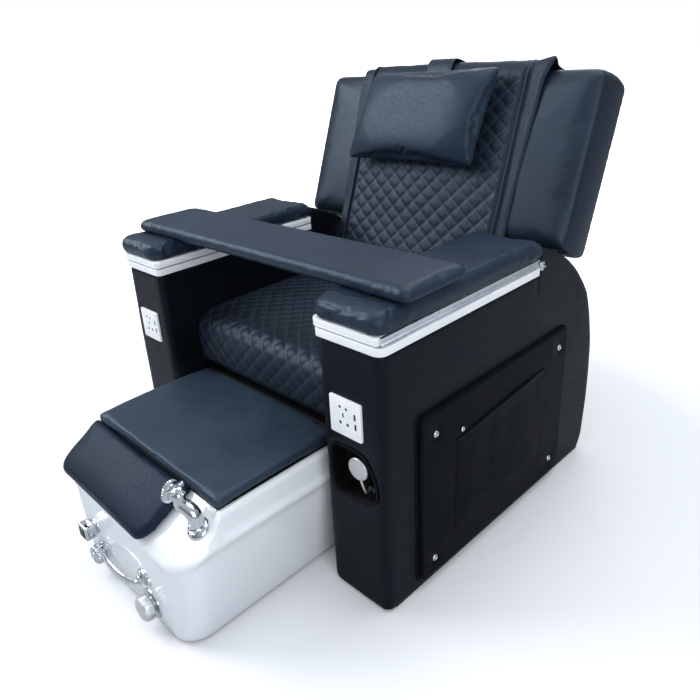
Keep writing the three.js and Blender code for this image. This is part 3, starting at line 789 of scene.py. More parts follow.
def arm(side, s):
    bmname = f"arm_{side}"
    v, f = prism(ARM_PROFILE, "x", s * 298, s * 465)
    ob = make(bmname, v, f, None, LEATHER_SIDE_SHADED)
    me = ob.data
    bm = bmesh.new()
    bm.from_mesh(me)
    xo = s * 0.465

    def edges(test):
        return [e for e in bm.edges if test((e.verts[0].co + e.verts[1].co) / 2, e)]

    def bev(test, width, seg=5):
        es = edges(test)
        if es:
            bmesh.ops.bevel(bm, geom=es, offset=width / 1000, offset_type="OFFSET", segments=seg, profile=0.5, affect="EDGES", clamp_overlap=True)

    fy = -OY / 1000
    bev(lambda c, e: abs(c.y - fy) < 1e-4 and 0.1 < c.z < 0.6 and abs(c.x - xo) < 1e-4, 19, 6)
    bev(lambda c, e: abs(c.y - fy) < 1e-4 and 0.1 < c.z < 0.6 and abs(c.x - s * 0.298) < 1e-4, 14, 5)
    bev(lambda c, e: (abs(c.x - xo) < 1e-4 or abs(c.x - s * 0.298) < 1e-4) and c.y > fy + 0.546 and len(e.link_faces) == 2, 15, 4)
    bm.to_mesh(me)
    bm.free()
    if s > 0:
        p = cup_line(4)
        subtract(ob, prism(p, "y", -20, 46))
    sx, sz = SOCKET_AT[side]
    voxel(ob, 6.0, 5)
    v = verts_of(ob)
    n = normals_of(ob)
    x, y, z = v.T
    # bottom corner next to the bath, and the lower front edge
    ax = np.abs(x)
    R = 34
    fade = 1 - smooth01((y - 10) / 60)
    ca, cz = 298 + R, 4.4 + R
    dx, dz = ca - ax, cz - z
    ins = (dx > 0) & (dz > 0)
    dist = np.hypot(dx, dz)
    k = np.where(ins & (dist > R), R / np.maximum(dist, 1e-6), 1)
    ax2, z2 = ca - dx * k, cz - dz * k
    v[:, 0] = np.where(ins, s * (ax + (ax2 - ax) * fade), x)
    v[:, 2] = np.where(ins, z + (z2 - z) * fade, z)
    x, y, z = v.T
    # the cover lies over board and thin foam: slightly uneven, drawn in under the trims and at the seam
    free = smooth01((610 - z) / 40) * smooth01((z - 8) / 30)
    h = 0.8 * vnoise(v, 150, 3) + 0.15 * vnoise(v, 45, 5)
    h += 1.2 * smooth01((z - 60) / 120) * smooth01((600 - z) / 120)
    tall = np.stack([x, y, z * 0.25], 1)
    h -= 0.3 * folds(vnoise(tall, 90, 8)) * smooth01((z - 460) / 130) * smooth01((y - 60) / 80)
    # bolster: folds that fan out from the seam
    bol = smooth01((y - 560) / 60) * smooth01((z - 380) / 120)
    fan = np.stack([x * 0.35, y, z], 1)
    h += bol * (1.5 * vnoise(v, 110, 11) - 0.9 * folds(vnoise(fan, 80, 12)))
    front = (np.abs(y) < 3) & (z < 600)
    h = np.where(front, h * 0.5, h)
    if s > 0:
        c = np.hypot((x - 380) / 66, (z - 327) / 64)
        h = h * smooth01((c - 1.0) / 0.5 + (y > 60))
    h *= free
    # vertical seam between the armrest and the bolster
    seam = np.exp(-(((y - 543) / 5.0) ** 2)) * smooth01((z - 560) / 30)
    h -= 2.2 * seam
    v += n * h[:, None]
    v[:, 2] = np.maximum(v[:, 2], 4.2)
    # stay clear of the sliding armrest, the bath and the reclining back
    low = v[:, 1] < 543
    v[:, 2] = np.where(low & (v[:, 2] > 612), np.minimum(v[:, 2], 620), v[:, 2])
    top = (v[:, 1] > 541.5) & (v[:, 1] < 547)
    v[:, 1] = np.where((v[:, 2] > 640) & (v[:, 1] < 545), np.maximum(v[:, 1], 543.5), v[:, 1])
    inner = np.abs(v[:, 0])
    v[:, 0] = s * np.clip(inner, 296.8, 468)
    set_verts(ob, v)
    finish_mesh(ob, 180)
    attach(ob, "base")
    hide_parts(f"arm_box_{side}")
    return ob


for side, s in (("left", 1), ("right", -1)):
    arm(side, s)

# ------------------------------------------------------------------ side panels, pocket, screws
PANEL = (100, 695, 25, 450)


def side_panel(side, s):
    def height(A, B, D):
        h = edge_round(D, 7, 10.8, 2.6)
        p = np.stack([A, B, np.full(len(A), 10.0 * s)], 1)
        crown = smooth01(D / 120) * 2.2
        h = h + crown + 0.9 * vnoise(p, 150, 21) * smooth01(D / 20)
        # tension folds that run down from the pocket's corners, and pull marks at the screws
        q = np.stack([A * 0.55 + B * 0.35, B * 0.25, p[:, 2]], 1)
        h -= 0.6 * folds(vnoise(q, 120, 23)) * smooth01((D - 10) / 60) * (0.35 + 0.65 * smooth01((B - 200) / 120))
        for sy, sz in ((149, 393), (146, 70), (642, 74), (651, 400)):
            r = np.hypot(A - sy, B - sz)
            h -= 3.2 * np.exp(-((r / 17) ** 2))
        return h

    return pad(
        f"side_cover_{side}", (PANEL[0], PANEL[1]), (PANEL[2], PANEL[3]), 20, height, lambda A, B, D: 0 * A,
        lambda A, B, H: np.stack([s * (465.6 + H), A, B], 1), "base", LEATHER_PANEL_SHADED,
        step=7, edge=14, slot="black_leather", stands=[f"side_panel_{side}"],
    )


for side, s in (("left", 1), ("right", -1)):
    side_panel(side, s)
    # near-black strip a little larger than the panel, just under it: painted shadow line round the side panel's edge
    v, f = slab(lambda o: rounded(PANEL[0] - 8.0 - o, PANEL[2] - 1.0 - o, PANEL[1] + 1.5 + o, PANEL[3] + 1.0 + o, 21, 8), [(-2, 0), (0, 0.2), (0, 2.4), (-1, 3.2), (-3, 3.2)], lambda a, b, c: np.stack([s * (464.6 + c), a, b], 1))
    make(f"panel_shadow_strip_{side}", v, f, "base", NEAR_BLACK_AND_SHADE, sharp=50, slot="black_rubber")


def pocket():
    def height(A, B, D):
        h = edge_round(D, 5, 2.6)
        p = np.stack([A, B, A * 0], 1)
        top = smooth01((B - 300) / 50)
        sag = smooth01((350 - B) / 220) * smooth01(D / 60)
        h = h + 3.2 * sag + 2.2 * top * smooth01((A - 230) / 60) * smooth01((560 - A) / 60)
        h += 0.8 * vnoise(p, 50, 31) * smooth01(D / 25)
        q = np.stack([A * 0.8, B * 0.2, p[:, 2]], 1)
        h -= 0.7 * folds(vnoise(q, 85, 33)) * smooth01(D / 40)
        # hem along the mouth
        h += 1.1 * np.exp(-(((350 - B - 4) / 3.5) ** 2)) - 1.0 * np.exp(-(((350 - B - 13) / 2.0) ** 2))
        h -= 0.9 * (np.exp(-(((D - 7) / 1.6) ** 2))) * (B < 335)
        return np.maximum(h, 0.3 * (D > 0))

    def place(A, B, H):
        slope = (A - 216) / 362 * 26
        BB = B + slope * smooth01((B - 200) / 120)
        return np.stack([476.9 + H, A, BB], 1)

    return pad(
        "pocket", (216, 578), (92, 350), [26, 26, 5, 5], height, lambda A, B, D: -1.2 + 0 * A, place, "base", LEATHER_PANEL_SHADED,
        step=5.5, edge=10, slot="black_leather", stands=["side_pocket"],
    )


pocket()


def screw(name, at, d, body, stands=(), r=9.5):
    prof = [(0, 0), (r, 0), (r, 1.0), (r * 0.97, 2.0), (r * 0.8, 3.4), (r * 0.5, 4.3), (r * 0.42, 4.4), (r * 0.34, 3.4), (0, 3.2)]
    v, f = lathe(prof, at, d, 32)
    return make(name, v, f, body, CHROME, sharp=50, slot="chrome", stands=stands)


for i, (y, z) in enumerate([(149, 393), (146, 70), (642, 74), (651, 400)]):
    screw(f"screw_left_{i + 1}", (475.0, y, z), (1, 0, 0), "base", [f"panel_screw_{i + 1}"], 8.2)
    screw(f"screw_right_{i + 1}", (-475.0, y, z), (-1, 0, 0), "base", (), 8.2)
v, f = lathe([(0, 0), (6.4, 0), (6.4, 1.2), (5.6, 2.6), (3.4, 3.6), (0, 3.8)], (479.5, 237, 364), (1, 0, 0), 28)
make("snap", v, f, "base", CHROME, slot="chrome", stands=["pocket_snap"])


def stitch_line(name, path, body, material=THREAD_DARK, length=3.4, gap=1.6, r=0.55, back=False):
    """A row of short raised stitches along a path."""
    p = resample(path, step=length + gap, smooth=len(path) > 2)
    if back:
        p = BK(p)
    shapes = []
    for i in range(len(p) - 1):
        d = p[i + 1] - p[i]
        d = d / np.linalg.norm(d)
        a, b = p[i] + d * gap / 2, p[i + 1] - d * gap / 2
        shapes.append(sweep([a, (a + b) / 2 , b], r, n=6, step=1.4, smooth=False))
    v, f = merged(*shapes)
    return make(name, v, f, body, material, sharp=180)


# ------------------------------------------------------------------ white trims and slides
def trim(name, x0, x1, y0, y1, z0, z1, r, lip, body, stands):
    def outline(o):
        rr = [max(q + o, 0.8) for q in r]
        return rounded(x0 - o, y0 - o, x1 + o, y1 + min(o, 0), rr, 10)

    h = z1 - z0
    if lip == "lower":
        levels = [(-3.2, 0), (-1.0, 0.2), (0.2, 1.0), (0.4, 2.4), (0.4, h * 0.84), (0.0, h * 0.94), (-1.0, h), (-4, h)]
    else:
        levels = [(-4, 0), (-0.8, 0), (0.0, h * 0.06), (0.1, h * 0.2), (-1.2, h * 0.25), (-1.2, h * 0.31), (0.2, h * 0.37), (0.5, h * 0.9), (-0.4, h * 0.985), (-2.2, h)]
    v, f = slab(outline, levels, lambda a, b, c: np.stack([a, b, z0 + c], 1))
    return make(name, v, f, body, TRIM, sharp=38, slot="white_trim", stands=stands)


def slide_profile(name, x_in, x_out, z0, z1, y0, y1, body, stands, s):
    """Rolled steel channel with two beads, seen from the side."""
    h = z1 - z0
    d = x_out - x_in
    prof = [(0, 0), (d * 0.9, 0), (d, h * 0.05), (d, h * 0.20), (d * 0.62, h * 0.27), (d * 0.56, h * 0.32), (d * 0.56, h * 0.66), (d * 0.62, h * 0.72), (d, h * 0.79), (d, h * 0.95), (d * 0.9, h), (0, h)]
    p = np.array([(s * (x_in + a), z0 + b) for a, b in prof])
    v, f = prism(p, "y", y0, y1)
    return bevelled(name, (v, f), body, SLIDE, 0.5, 2, slot="slide_steel", stands=stands)


for side, s in (("left", 1), ("right", -1)):
    x0, x1 = (293, 469.5) if s > 0 else (-469.5, -293)
    r = [14, 20, 2, 2] if s > 0 else [20, 14, 2, 2]
    trim(f"lower_trim_{side}", x0, x1, -4, 541, 620.4, 638.1, r, "lower", "base", [f"trim_lower_{side}"])
    x0, x1 = (291, 461) if s > 0 else (-461, -291)
    r = [14, 8, 2, 2] if s > 0 else [8, 14, 2, 2]
    trim(f"upper_trim_{side}", x0, x1, -6, 539.6, 642, 660.0, r, "upper", f"armrest_{side}", [f"trim_upper_{side}"])
    slide_profile(f"slide_inner_{side}", 461.2, 469.2, 643, 659, 2, 539, f"armrest_{side}", [f"rail_inner_{side}"], s)
    # ball race between the two members, with its steel cage
    cage = merged(
        box(s * 447, s * 466, 4, 538, 638.3, 639.2),
        box(s * 464.6, s * 467.4, 4, 538, 638.3, 641.6),
    )
    bevelled(f"slide_outer_{side}", cage, "base", SLIDE, 0.3, 1, slot="slide_steel", stands=[f"rail_outer_{side}"])
    balls = []
    for y in list(np.arange(26, 70, 7.2)) + list(np.arange(478, 528, 7.2)):
        balls.append(lathe([(0, -1.25), (0.8, -1.0), (1.2, -0.4), (1.2, 0.4), (0.8, 1.0), (0, 1.25)], (s * 469.0, y, 640.1), (0, 0, 1), 10))
    v, f = merged(*balls)
    make(f"slide_balls_{side}", v, f, "base", CHROME, slot="chrome")
    # end stop and fixing screws of the slide
    end = merged(box(s * 465, s * 471.5, 541.5, 556, 636, 652), box(s * 465.5, s * 472.5, 545, 551, 632, 640))
    bevelled(f"slide_end_{side}", end, "base", SLIDE, 0.7, 2, slot="slide_steel")
    v, f = merged(
        lathe([(0, 0), (3.6, 0), (3.6, 1), (2.6, 2.0), (0, 2.3)], (s * 471, 549, 645), (s, 0, 0), 20),
        lathe([(0, 0), (3.0, 0), (3.0, 0.8), (2.0, 1.7), (0, 1.9)], (s * 467.5, 566, 636), (s, 0, 0), 20),
    )
    make(f"slide_screws_{side}", v, f, "base", CHROME, slot="chrome")
    v, f = merged(*[
        lathe([(0, 0), (2.4, 0), (2.3, 0.6), (1.4, 1.1), (0, 1.2)], (s * 465.7, y, 651), (s, 0, 0), 16) for y in (40, 170, 300, 430, 520)
    ])
    make(f"slide_rivets_{side}", v, f, f"armrest_{side}", CHROME, slot="chrome")

# ------------------------------------------------------------------ sockets, cup and release lever
for side in ("left", "right"):
    sx, sz = SOCKET_AT[side]
    p = lambda o: rounded(sx - 41.5 - o, sz - 42.5 - o, sx + 43 + o, sz + 42.5 + o, 3.0, 6)
    v, f = slab(p, [(-1.6, 6.2), (-0.5, 5.9), (0, 5.2), (0, 0.2), (-4, 0.2), (-4, -14), (-6, -14)][::-1], lambda a, b, c: np.stack([a, -c, b], 1))
    ob = make(f"socket_face_{side}", v, f, None, SOCKET, sharp=30)
    cuts = [lathe([(0, -9), (r_, -9), (r_, 1), (0, 1)], (sx + dx, 0, sz + dz), (0, 1, 0), 20) for dx, dz, r_ in ((-12.6, 22, 3.5), (4.6, 21, 3.5), (-12.8, -13.5, 4.0), (7.0, -13.5, 4.0))]
    cuts += [box(sx + dx - w_, sx + dx + w_, -9, 1, sz + dz - h_, sz + dz + h_) for dx, dz, w_, h_ in ((-4.8, 4.6, 2.4, 5.2), (27.2, 11.0, 3.0, 7.2), (28.4, -11.0, 3.0, 7.2))]
    subtract(ob, merged(*cuts))
    finish_mesh(ob, 30)
    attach(ob, "base")
    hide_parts(f"socket_{side}")
    # black plates behind the socket openings: painted shade inside the holes
    v, f = merged(box(sx - 17, sx + 12, -5.3, -0.6, sz - 18, sz + 26), box(sx + 23, sx + 33, -5.3, -0.6, sz - 18, sz + 20))
    make(f"socket_shade_plate_{side}", v, f, "base", HOLE_SHADE, slot="black_plastic")

cup_rings = []
for g, y in [(7.2, 0.6), (7.4, -0.2), (6.8, -0.9), (5.4, -1.2), (2.6, -1.2), (0.9, -0.6), (0.0, 1.5), (-1.0, 14), (-2.0, 34), (-5, 41), (-12, 43.5), (-26, 44)]:
    p = cup_line(g)
    cup_rings.append(np.stack([p[:, 0], np.full(len(p), float(y)), p[:, 1]], 1))
back_rings = []
for g, y in [(-26, 46), (-12, 45.6), (-3, 43), (2.0, 34), (2.6, 10), (2.8, 0.2)]:
    p = cup_line(g)
    back_rings.append(np.stack([p[:, 0], np.full(len(p), float(y)), p[:, 1]], 1))
inner_v, inner_f = loft(cup_rings + back_rings, False, False)
n = len(cup_rings[0])
k0, k1 = (len(cup_rings) - 1) * n, len(cup_rings) * n
inner_f = [q for q in inner_f if not (q[0] >= k0 and q[0] < k0 + n and q[2] >= k1)]
inner_f.append(tuple(range(k0, k0 + n)))
inner_f.append(tuple(range(k1, k1 + n))[::-1])
last = (len(cup_rings) + len(back_rings) - 1) * n
inner_f += [(last + i, last + (i + 1) % n, (i + 1) % n, i) for i in range(n)]
# black plastic release cup, made near-black as painted shade inside its recess
make("recline_cup", inner_v, inner_f, "base", NEAR_BLACK_AND_SHADE, sharp=50, slot="black_plastic", stands=["release_cup"])
ears = merged(box(399, 404, 8, 43, 295, 309), box(425, 430, 8, 43, 300, 314))
bevelled("recline_cup_ears", ears, "base", BLACK, 1.2, 2, slot="black_plastic")

v, f = merged(
    lathe([(0, -3.2), (22.6, -3.2), (24.4, -2.6), (25.2, -1.4), (25.2, 1.4), (24.4, 2.6), (22.6, 3.2), (0, 3.2)], (396, -1, 350), (0, 1, 0), 64),
    sweep([(405.5, 10, 290), (404.5, 6, 300), (402.5, 2, 316), (399, -0.5, 333)], lambda t: 2.7, n=16, step=3),
)
make("recline_lever", v, f, "release_lever", SATIN, sharp=40, slot="chrome", stands=["release_lever"])
v, f = merged(
    sweep([(405.3, 9.5, 291), (408, 12, 294), (413.6, 16, 302)], lambda t: 3.6, n=14, step=3),
    lathe([(0, -7.6), (5.6, -7.6), (5.9, -7.0), (5.9, 7.0), (5.6, 7.6), (0, 7.6)], (414, 16, 302), (0.936, 0, 0.351), 24),
)
make("recline_lever_hub", v, f, "release_lever", BLACK, sharp=40, slot="black_plastic")

# ------------------------------------------------------------------ armrest pads
def arm_pad(side, s):
    def crease(A, B):
        p = np.stack([A, B, np.full(len(A), 40.0 * s)], 1)
        near = smooth01((150 - B) / 130)
        inner = smooth01((420 - A) / 120)
        q = np.stack([A * 0.17, B, p[:, 2]], 1)
        q2 = np.stack([A * 0.22 + B * 0.25, B * 0.9 - A * 0.2, p[:, 2]], 1)
        w = near * (0.35 + 0.65 * inner)
        return w * (1.7 * folds(vnoise(q, 15, 41)) + 1.2 * folds(vnoise(q2, 12, 42))) + 0.5 * vnoise(p, 60, 43)

    def top(A, B, D):
        h = edge_round(D, 24, 21.5, 2.1)
        c = crease(A, B) * smooth01(D / 7)
        return np.minimum(h + 0.9 * smooth01(D / 60) - c * 0.9, 22.6)

    def bot(A, B, D):
        return -edge_round(D, 13, 21.6, 2.3)

    def place(A, B, H):
        B2 = B.copy()
        return np.stack([s * A, B2, 682.0 + H], 1)

    ob = pad(
        f"armrest_pad_{side}", (287.5, 476), (-13, 540), [40, 34, 4, 4], top, bot, place, None, LEATHER_PAD_LIT,
        step=6, edge=22, sharp=180,
    )
    def limit(v):
        v[:, 2] = np.clip(v[:, 2], 660.4, 704.9)
        v[:, 1] = np.minimum(v[:, 1], 541.0)
        ax = np.clip(np.abs(v[:, 0]), 284, 480)
        v[:, 0] = s * ax
        return v
    puff(ob, 3.0, 16, 5.0, 5.0, -0.02, lambda r: (r[:, 2] < 662.5) | (r[:, 1] > 534), limit=limit)
    m = ob.modifiers.new("s", "SUBSURF")
    m.levels = m.render_levels = 1
    applied(ob)
    v = verts_of(ob)
    nrm = normals_of(ob)
    c = crease(np.abs(v[:, 0]), v[:, 1] - (704 - v[:, 2])) * smooth01((v[:, 2] - 667) / 12)
    v -= nrm * (c * 0.9)[:, None]
    set_verts(ob, limit(v))
    finish_mesh(ob, 180)
    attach(ob, f"armrest_{side}")
    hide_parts(f"arm_pad_{side}")


for side, s in (("left", 1), ("right", -1)):
    arm_pad(side, s)

# ------------------------------------------------------------------ tray
def tray():
    x0, x1 = -467, 484

    def top(A, B, D):
        p = np.stack([A, B, 70 + 0 * A], 1)
        h = edge_round(D, 17, 15.5, 2.0)
        return h + 1.2 * smooth01(D / 60) + 0.7 * vnoise(p, 140, 51) * smooth01(D / 30) + 0.25 * vnoise(p, 30, 52) * smooth01((40 - D) / 30) * smooth01(D / 8)

    def bot(A, B, D):
        return -edge_round(D, 10, 12.4, 2.0)

    def place(A, B, H):
        return np.stack([A, B, 718.0 + H], 1)

    ob = pad("tray_pad", (x0, x1), (53, 247), [17, 24, 24, 34], top, bot, place, None, LEATHER_PAD_LIT, step=8, edge=16, sharp=180)
    def limit(v):
        v[:, 2] = np.clip(v[:, 2], 705.5, 736.5)
        return v
    puff(ob, 2.5, 12, 3.0, 5.0, -0.01, lambda r: r[:, 2] < 707.5, limit=limit)
    set_verts(ob, limit(verts_of(ob)))
    finish_mesh(ob, 180)
    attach(ob, "tray")
    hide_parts("tray_board")


def sweep_closed(points, r, n=10, step=6.0):
    p = resample(points, step=step, closed=True, smooth=False)
    m = len(p)
    t = np.roll(p, -1, 0) - np.roll(p, 1, 0)
    t /= np.linalg.norm(t, axis=1)[:, None]
    ref = np.array([0, 0, 1.0])
    a = np.cross(t, ref)
    ln = np.linalg.norm(a, axis=1)
    if ln.min() < 1e-3:
        ref = np.array([0.3, 0.9, 0.1])
        a = np.cross(t, ref)
        ln = np.linalg.norm(a, axis=1)
    a /= ln[:, None]
    b = np.cross(t, a)
    ang = np.linspace(0, 2 * math.pi, n, endpoint=False)
    rings = [p[k] + r * (a[k] * np.cos(ang)[:, None] + b[k] * np.sin(ang)[:, None]) for k in range(m)]
    v = np.vstack(rings)
    f = []
    for k in range(m):
        for i in range(n):
            j = (i + 1) % n
            k2 = (k + 1) % m
            f.append((k * n + i, k * n + j, k2 * n + j, k2 * n + i))
    return v, f


tray()

# ------------------------------------------------------------------ quilting
def quilt(a, b, size=50.0, depth=4.2, seam=2.6):
    """Diamond quilting: height between crossing stitch lines."""
    u = (a + b) / size
    w = (a - b) / size
    du = np.abs(u - np.round(u)) * size / math.sqrt(2)
    dw = np.abs(w - np.round(w)) * size / math.sqrt(2)
    d = np.minimum(du, dw)
    puffy = 1 - np.exp(-d / (size * 0.16))
    dome = np.sin(np.pi * np.clip(du * math.sqrt(2) / size, 0, 1)) * np.sin(np.pi * np.clip(dw * math.sqrt(2) / size, 0, 1))
    return depth * (0.45 * puffy + 0.75 * np.sqrt(np.clip(dome, 0, 1))) - 0.9 * np.exp(-((d / seam) ** 2))


def stitch_line_value(a, b, size=50.0):
    """1 along the crossing stitch lines, falling to 0 beside them."""
    u = (a + b) / size
    w = (a - b) / size
    d = np.minimum(np.abs(u - np.round(u)), np.abs(w - np.round(w))) * size / math.sqrt(2)
    return np.exp(-((d / 2.2) ** 2))


def seat():
    path = [(622, 488), (600, 490), (520, 491), (420, 491.5), (320, 491.5), (220, 491), (160, 489), (128, 484), (106, 473), (93, 456), (88.5, 436), (88, 415), (88.5, 395), (90, 372), (93, 352)]
    at, length = along(path)
    under = [(622, 417), (520, 417), (320, 417), (160, 417), (118, 417), (110, 410), (108, 392), (107, 372), (106, 352)]
    at2, length2 = along(under)

    def top(A, B, D):
        q = quilt(A, B, 45, 2.5)
        soft = smooth01(D / 26)
        p = np.stack([A, B, 90 + 0 * A], 1)
        return edge_round(D, 20, 4.0) + q * soft + 1.4 * vnoise(p, 110, 61) * soft + 3 * smooth01(D / 160)

    def place(A, B, H):
        p, t = at(B)
        nrm = np.stack([t[:, 1], -t[:, 0]], 1)
        nrm = np.where((nrm[:, 1:2] < -0.2) | ((np.abs(nrm[:, 1:2]) <= 0.2) & (nrm[:, 0:1] > 0)), -nrm, nrm)
        return np.stack([A, p[:, 0] + nrm[:, 0] * H, p[:, 1] + nrm[:, 1] * H], 1)

    def place_bot(A, B, H):
        p, t = at2(B / length * length2)
        return np.stack([A * 0.995, p[:, 0], p[:, 1]], 1)

    xs = np.linspace(-293, 293, 147)
    bs = np.linspace(0, length, 176)
    return pad(
        "seat_quilted", (-293, 293), (0, length), 4, top, lambda A, B, D: 0 * A, place, "base", QUILT,
        place_bot=place_bot, wall=(2, 0.0), aspace=xs, bspace=bs, sharp=180, slot="quilted_leather", stands=["seat_cushion", "front_apron"],
        paint=lambda A, B, D: 0.4 * stitch_line_value(A, B, 45) * smooth01(D / 20),
    )


seat()

# rear closing panel at the back of the seat well
pad(
    "rear_cover", (-297.4, 297.4), (20, 432), 6,
    lambda A, B, D: edge_round(D, 8, 7) + 2.2 * smooth01(D / 120) + 0.8 * vnoise(np.stack([A, B, 0 * A], 1), 110, 71) * smooth01(D / 20),
    lambda A, B, D: -7 + 0 * A, lambda A, B, H: np.stack([A, 849 + H, B], 1), "base", LEATHER_SIDE_SHADED,
    wall=(1, 0), step=10, edge=10, slot="black_leather", stands=["rear_panel"],
)

# ------------------------------------------------------------------ backrest slab
def back_slab():
    def top(A, B, D):
        p = np.stack([A, B, 300 + 0 * A], 1)
        h = edge_round(D, 20, 21, 2.3) + 5.0 * smooth01(D / 200)
        return h + 1.2 * vnoise(p, 150, 81) * smooth01(D / 40) - 0.8 * folds(vnoise(np.stack([A * 0.5, B * 1.2, p[:, 2]], 1), 60, 82)) * smooth01((60 - D) / 50) * smooth01(D / 14)

    def bot(A, B, D):
        p = np.stack([A, B, 400 + 0 * A], 1)
        return -edge_round(D, 20, 18, 2.2) - 3.0 * smooth01(D / 200) + 0.8 * vnoise(p, 150, 83) * smooth01(D / 40)

    ymid = 73.0

    def place_top(A, B, H):
        return BK(np.stack([A, 22 - H, B], 1))

    def place_bot(A, B, H):
        return BK(np.stack([A, 126 - H, B - 11 * (1 - smooth01((B - 16) / 70))], 1))

    ob = pad("back_slab", (-447, 447), (16, 449), [14, 14, 26, 26], top, bot, place_top, None, LEATHER, place_bot=place_bot, wall=(9, 5.0), step=12, edge=24, sharp=180)
    def limit(v):
        d = v.copy()
        y = (d[:, 1] - 675) * CS - (d[:, 2] - 625) * SN
        u = (d[:, 1] - 675) * SN + (d[:, 2] - 625) * CS
        x = np.clip(d[:, 0], -453, 453)
        y = np.clip(y, -8, 150)
        u = np.clip(u, np.where(y < 40, 14.5, 3.5), 456)
        return BK(np.stack([x, y, u], 1))
    def face(r, n):
        return smooth01((np.abs(n[:, 1] * CS - n[:, 2] * SN) - 0.35) / 0.5)
    puff(ob, 3.0, 14, 4.0, 9.0, 0.0, limit=limit, weight=face)
    finish_mesh(ob, 180)
    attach(ob, "backrest")
    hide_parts("back_shell")
    # corded seam round the back face
    for nm, y, o in (("rear", 143.5, 5.0),):
        p = rounded(-447 + o, 8 + o, 447 - o, 449 - o, 20, 8)
        loop = resample(BK(np.column_stack([p[:, 0], np.full(len(p), y - 8), p[:, 1]])), step=12, closed=True, smooth=False)
        v, f = sweep_closed(snap_loop(ob, loop), 1.7, 8, 8.0)
        make(f"back_seam_{nm}", v, f, "backrest", LEATHER, sharp=180, slot="black_leather")
    # lower tongue that reaches down between the arms
    pad(
        "back_tongue", (-262, 262), (-132, 44), 8,
        lambda A, B, D: edge_round(D, 10, 9), lambda A, B, D: -edge_round(D, 10, 9),
        lambda A, B, H: BK(np.stack([A, 9.5 - H, B], 1)), "backrest", LEATHER, place_bot=lambda A, B, H: BK(np.stack([A, 24.5 - H, B], 1)),
        wall=(2, 0), step=12, edge=10, slot="black_leather",
    )


back_slab()


# ------------------------------------------------------------------ quilted cover over the backrest
def cover():
    # path of the cover's middle line, (depth, up): up the front, over the top, down behind
    path = [(-3, -130), (-3, -60), (-3, 40), (-4, 140), (-5, 240), (-6, 340), (-6, 410), (-4, 440), (2, 455), (18, 461), (60, 463), (110, 463), (140, 461), (151, 455), (155, 440), (156, 400)]
    at, length = along(path)

    def thick(A):
        return np.where(np.abs(A) < 252, 15.0, 6.0)

    def top(A, B, D):
        inner = smooth01((253 - np.abs(A)) / 9)
        field = smooth01((246 - np.abs(A)) / 10) * smooth01((556 - B) / 8)
        q = quilt((A + 0.17 * (B - 300)) / 1.13, B / 1.055, 45, 2.3) * field + 2.0 * (1 - field)
        p = np.stack([A, B, 500 + 0 * A], 1)
        body = 4.0 + 7.5 * inner + 2.0 * smooth01((200 - np.abs(A)) / 160)
        pipe = 4.6 * np.exp(-(((np.abs(A) - 257) / 3.0) ** 2))
        h = edge_round(D, 5, 1.0) * (body + q + pipe)
        h += 1.3 * vnoise(p, 90, 91) * smooth01(D / 20)
        # creased where it turns over the top
        bend = np.exp(-(((B - 585) / 45) ** 2))
        h += bend * (1.5 * folds(vnoise(np.stack([A, B * 0.3, p[:, 2]], 1), 40, 92)) - 0.8)
        return h

    def place(A, B, H):
        p, t = at(B)
        nrm = np.stack([-t[:, 1], t[:, 0]], 1)
        y, u = p[:, 0] + nrm[:, 0] * H, p[:, 1] + nrm[:, 1] * H
        x = A.copy()
        # the flap flares out towards the top and its free corner stands up
        flare = smooth01((u - 120) / 330) * smooth01((np.abs(A) - 250) / 45)
        x = x + np.sign(A) * 12 * flare
        c = np.exp(-(((B - 590) / 30) ** 2)) * smooth01((A - 235) / 57)
        x = x + 16 * c
        u = u + 12 * c
        y = y - 10 * c
        # loose outer edge lifts off the slab
        y = y - 3.5 * smooth01((np.abs(A) - 262) / 30) * smooth01((u - 60) / 60) * (B < 560)
        return BK(np.stack([x, y, u], 1))

    def bot(A, B, D):
        return -1.0 + 0 * A

    xs = np.linspace(-292, 292, 163)
    bs = np.linspace(0, length, 200)
    ob = pad("back_quilt", (-292, 292), (0, length), 6, top, bot, place, "backrest", QUILT, aspace=xs, bspace=bs, wall=(1, 0), sharp=180, slot="quilted_leather", stands=["back_cover"],
        paint=lambda A, B, D: 0.55 * stitch_line_value((A + 0.17 * (B - 300)) / 1.13, B / 1.055, 45) * smooth01((246 - np.abs(A)) / 6) * smooth01((553 - B) / 5))
    # piping beside the quilted field
    for sgn in (-1, 1):
        pts = []
        for B in np.linspace(4, length - 10, 90):
            p, t = at(np.array([B]))
            nrm = np.stack([-t[:, 1], t[:, 0]], 1)
            pts.append([sgn * 258.5, p[0, 0] + nrm[0, 0] * 11.5, p[0, 1] + nrm[0, 1] * 11.5])
        v, f = sweep(BK(pts), 2.6, n=10, step=8, smooth=False)
        make(f"quilt_piping_{'left' if sgn > 0 else 'right'}", v, f, "backrest", LEATHER_PAD_LIT, sharp=180, slot="quilted_leather")


cover()


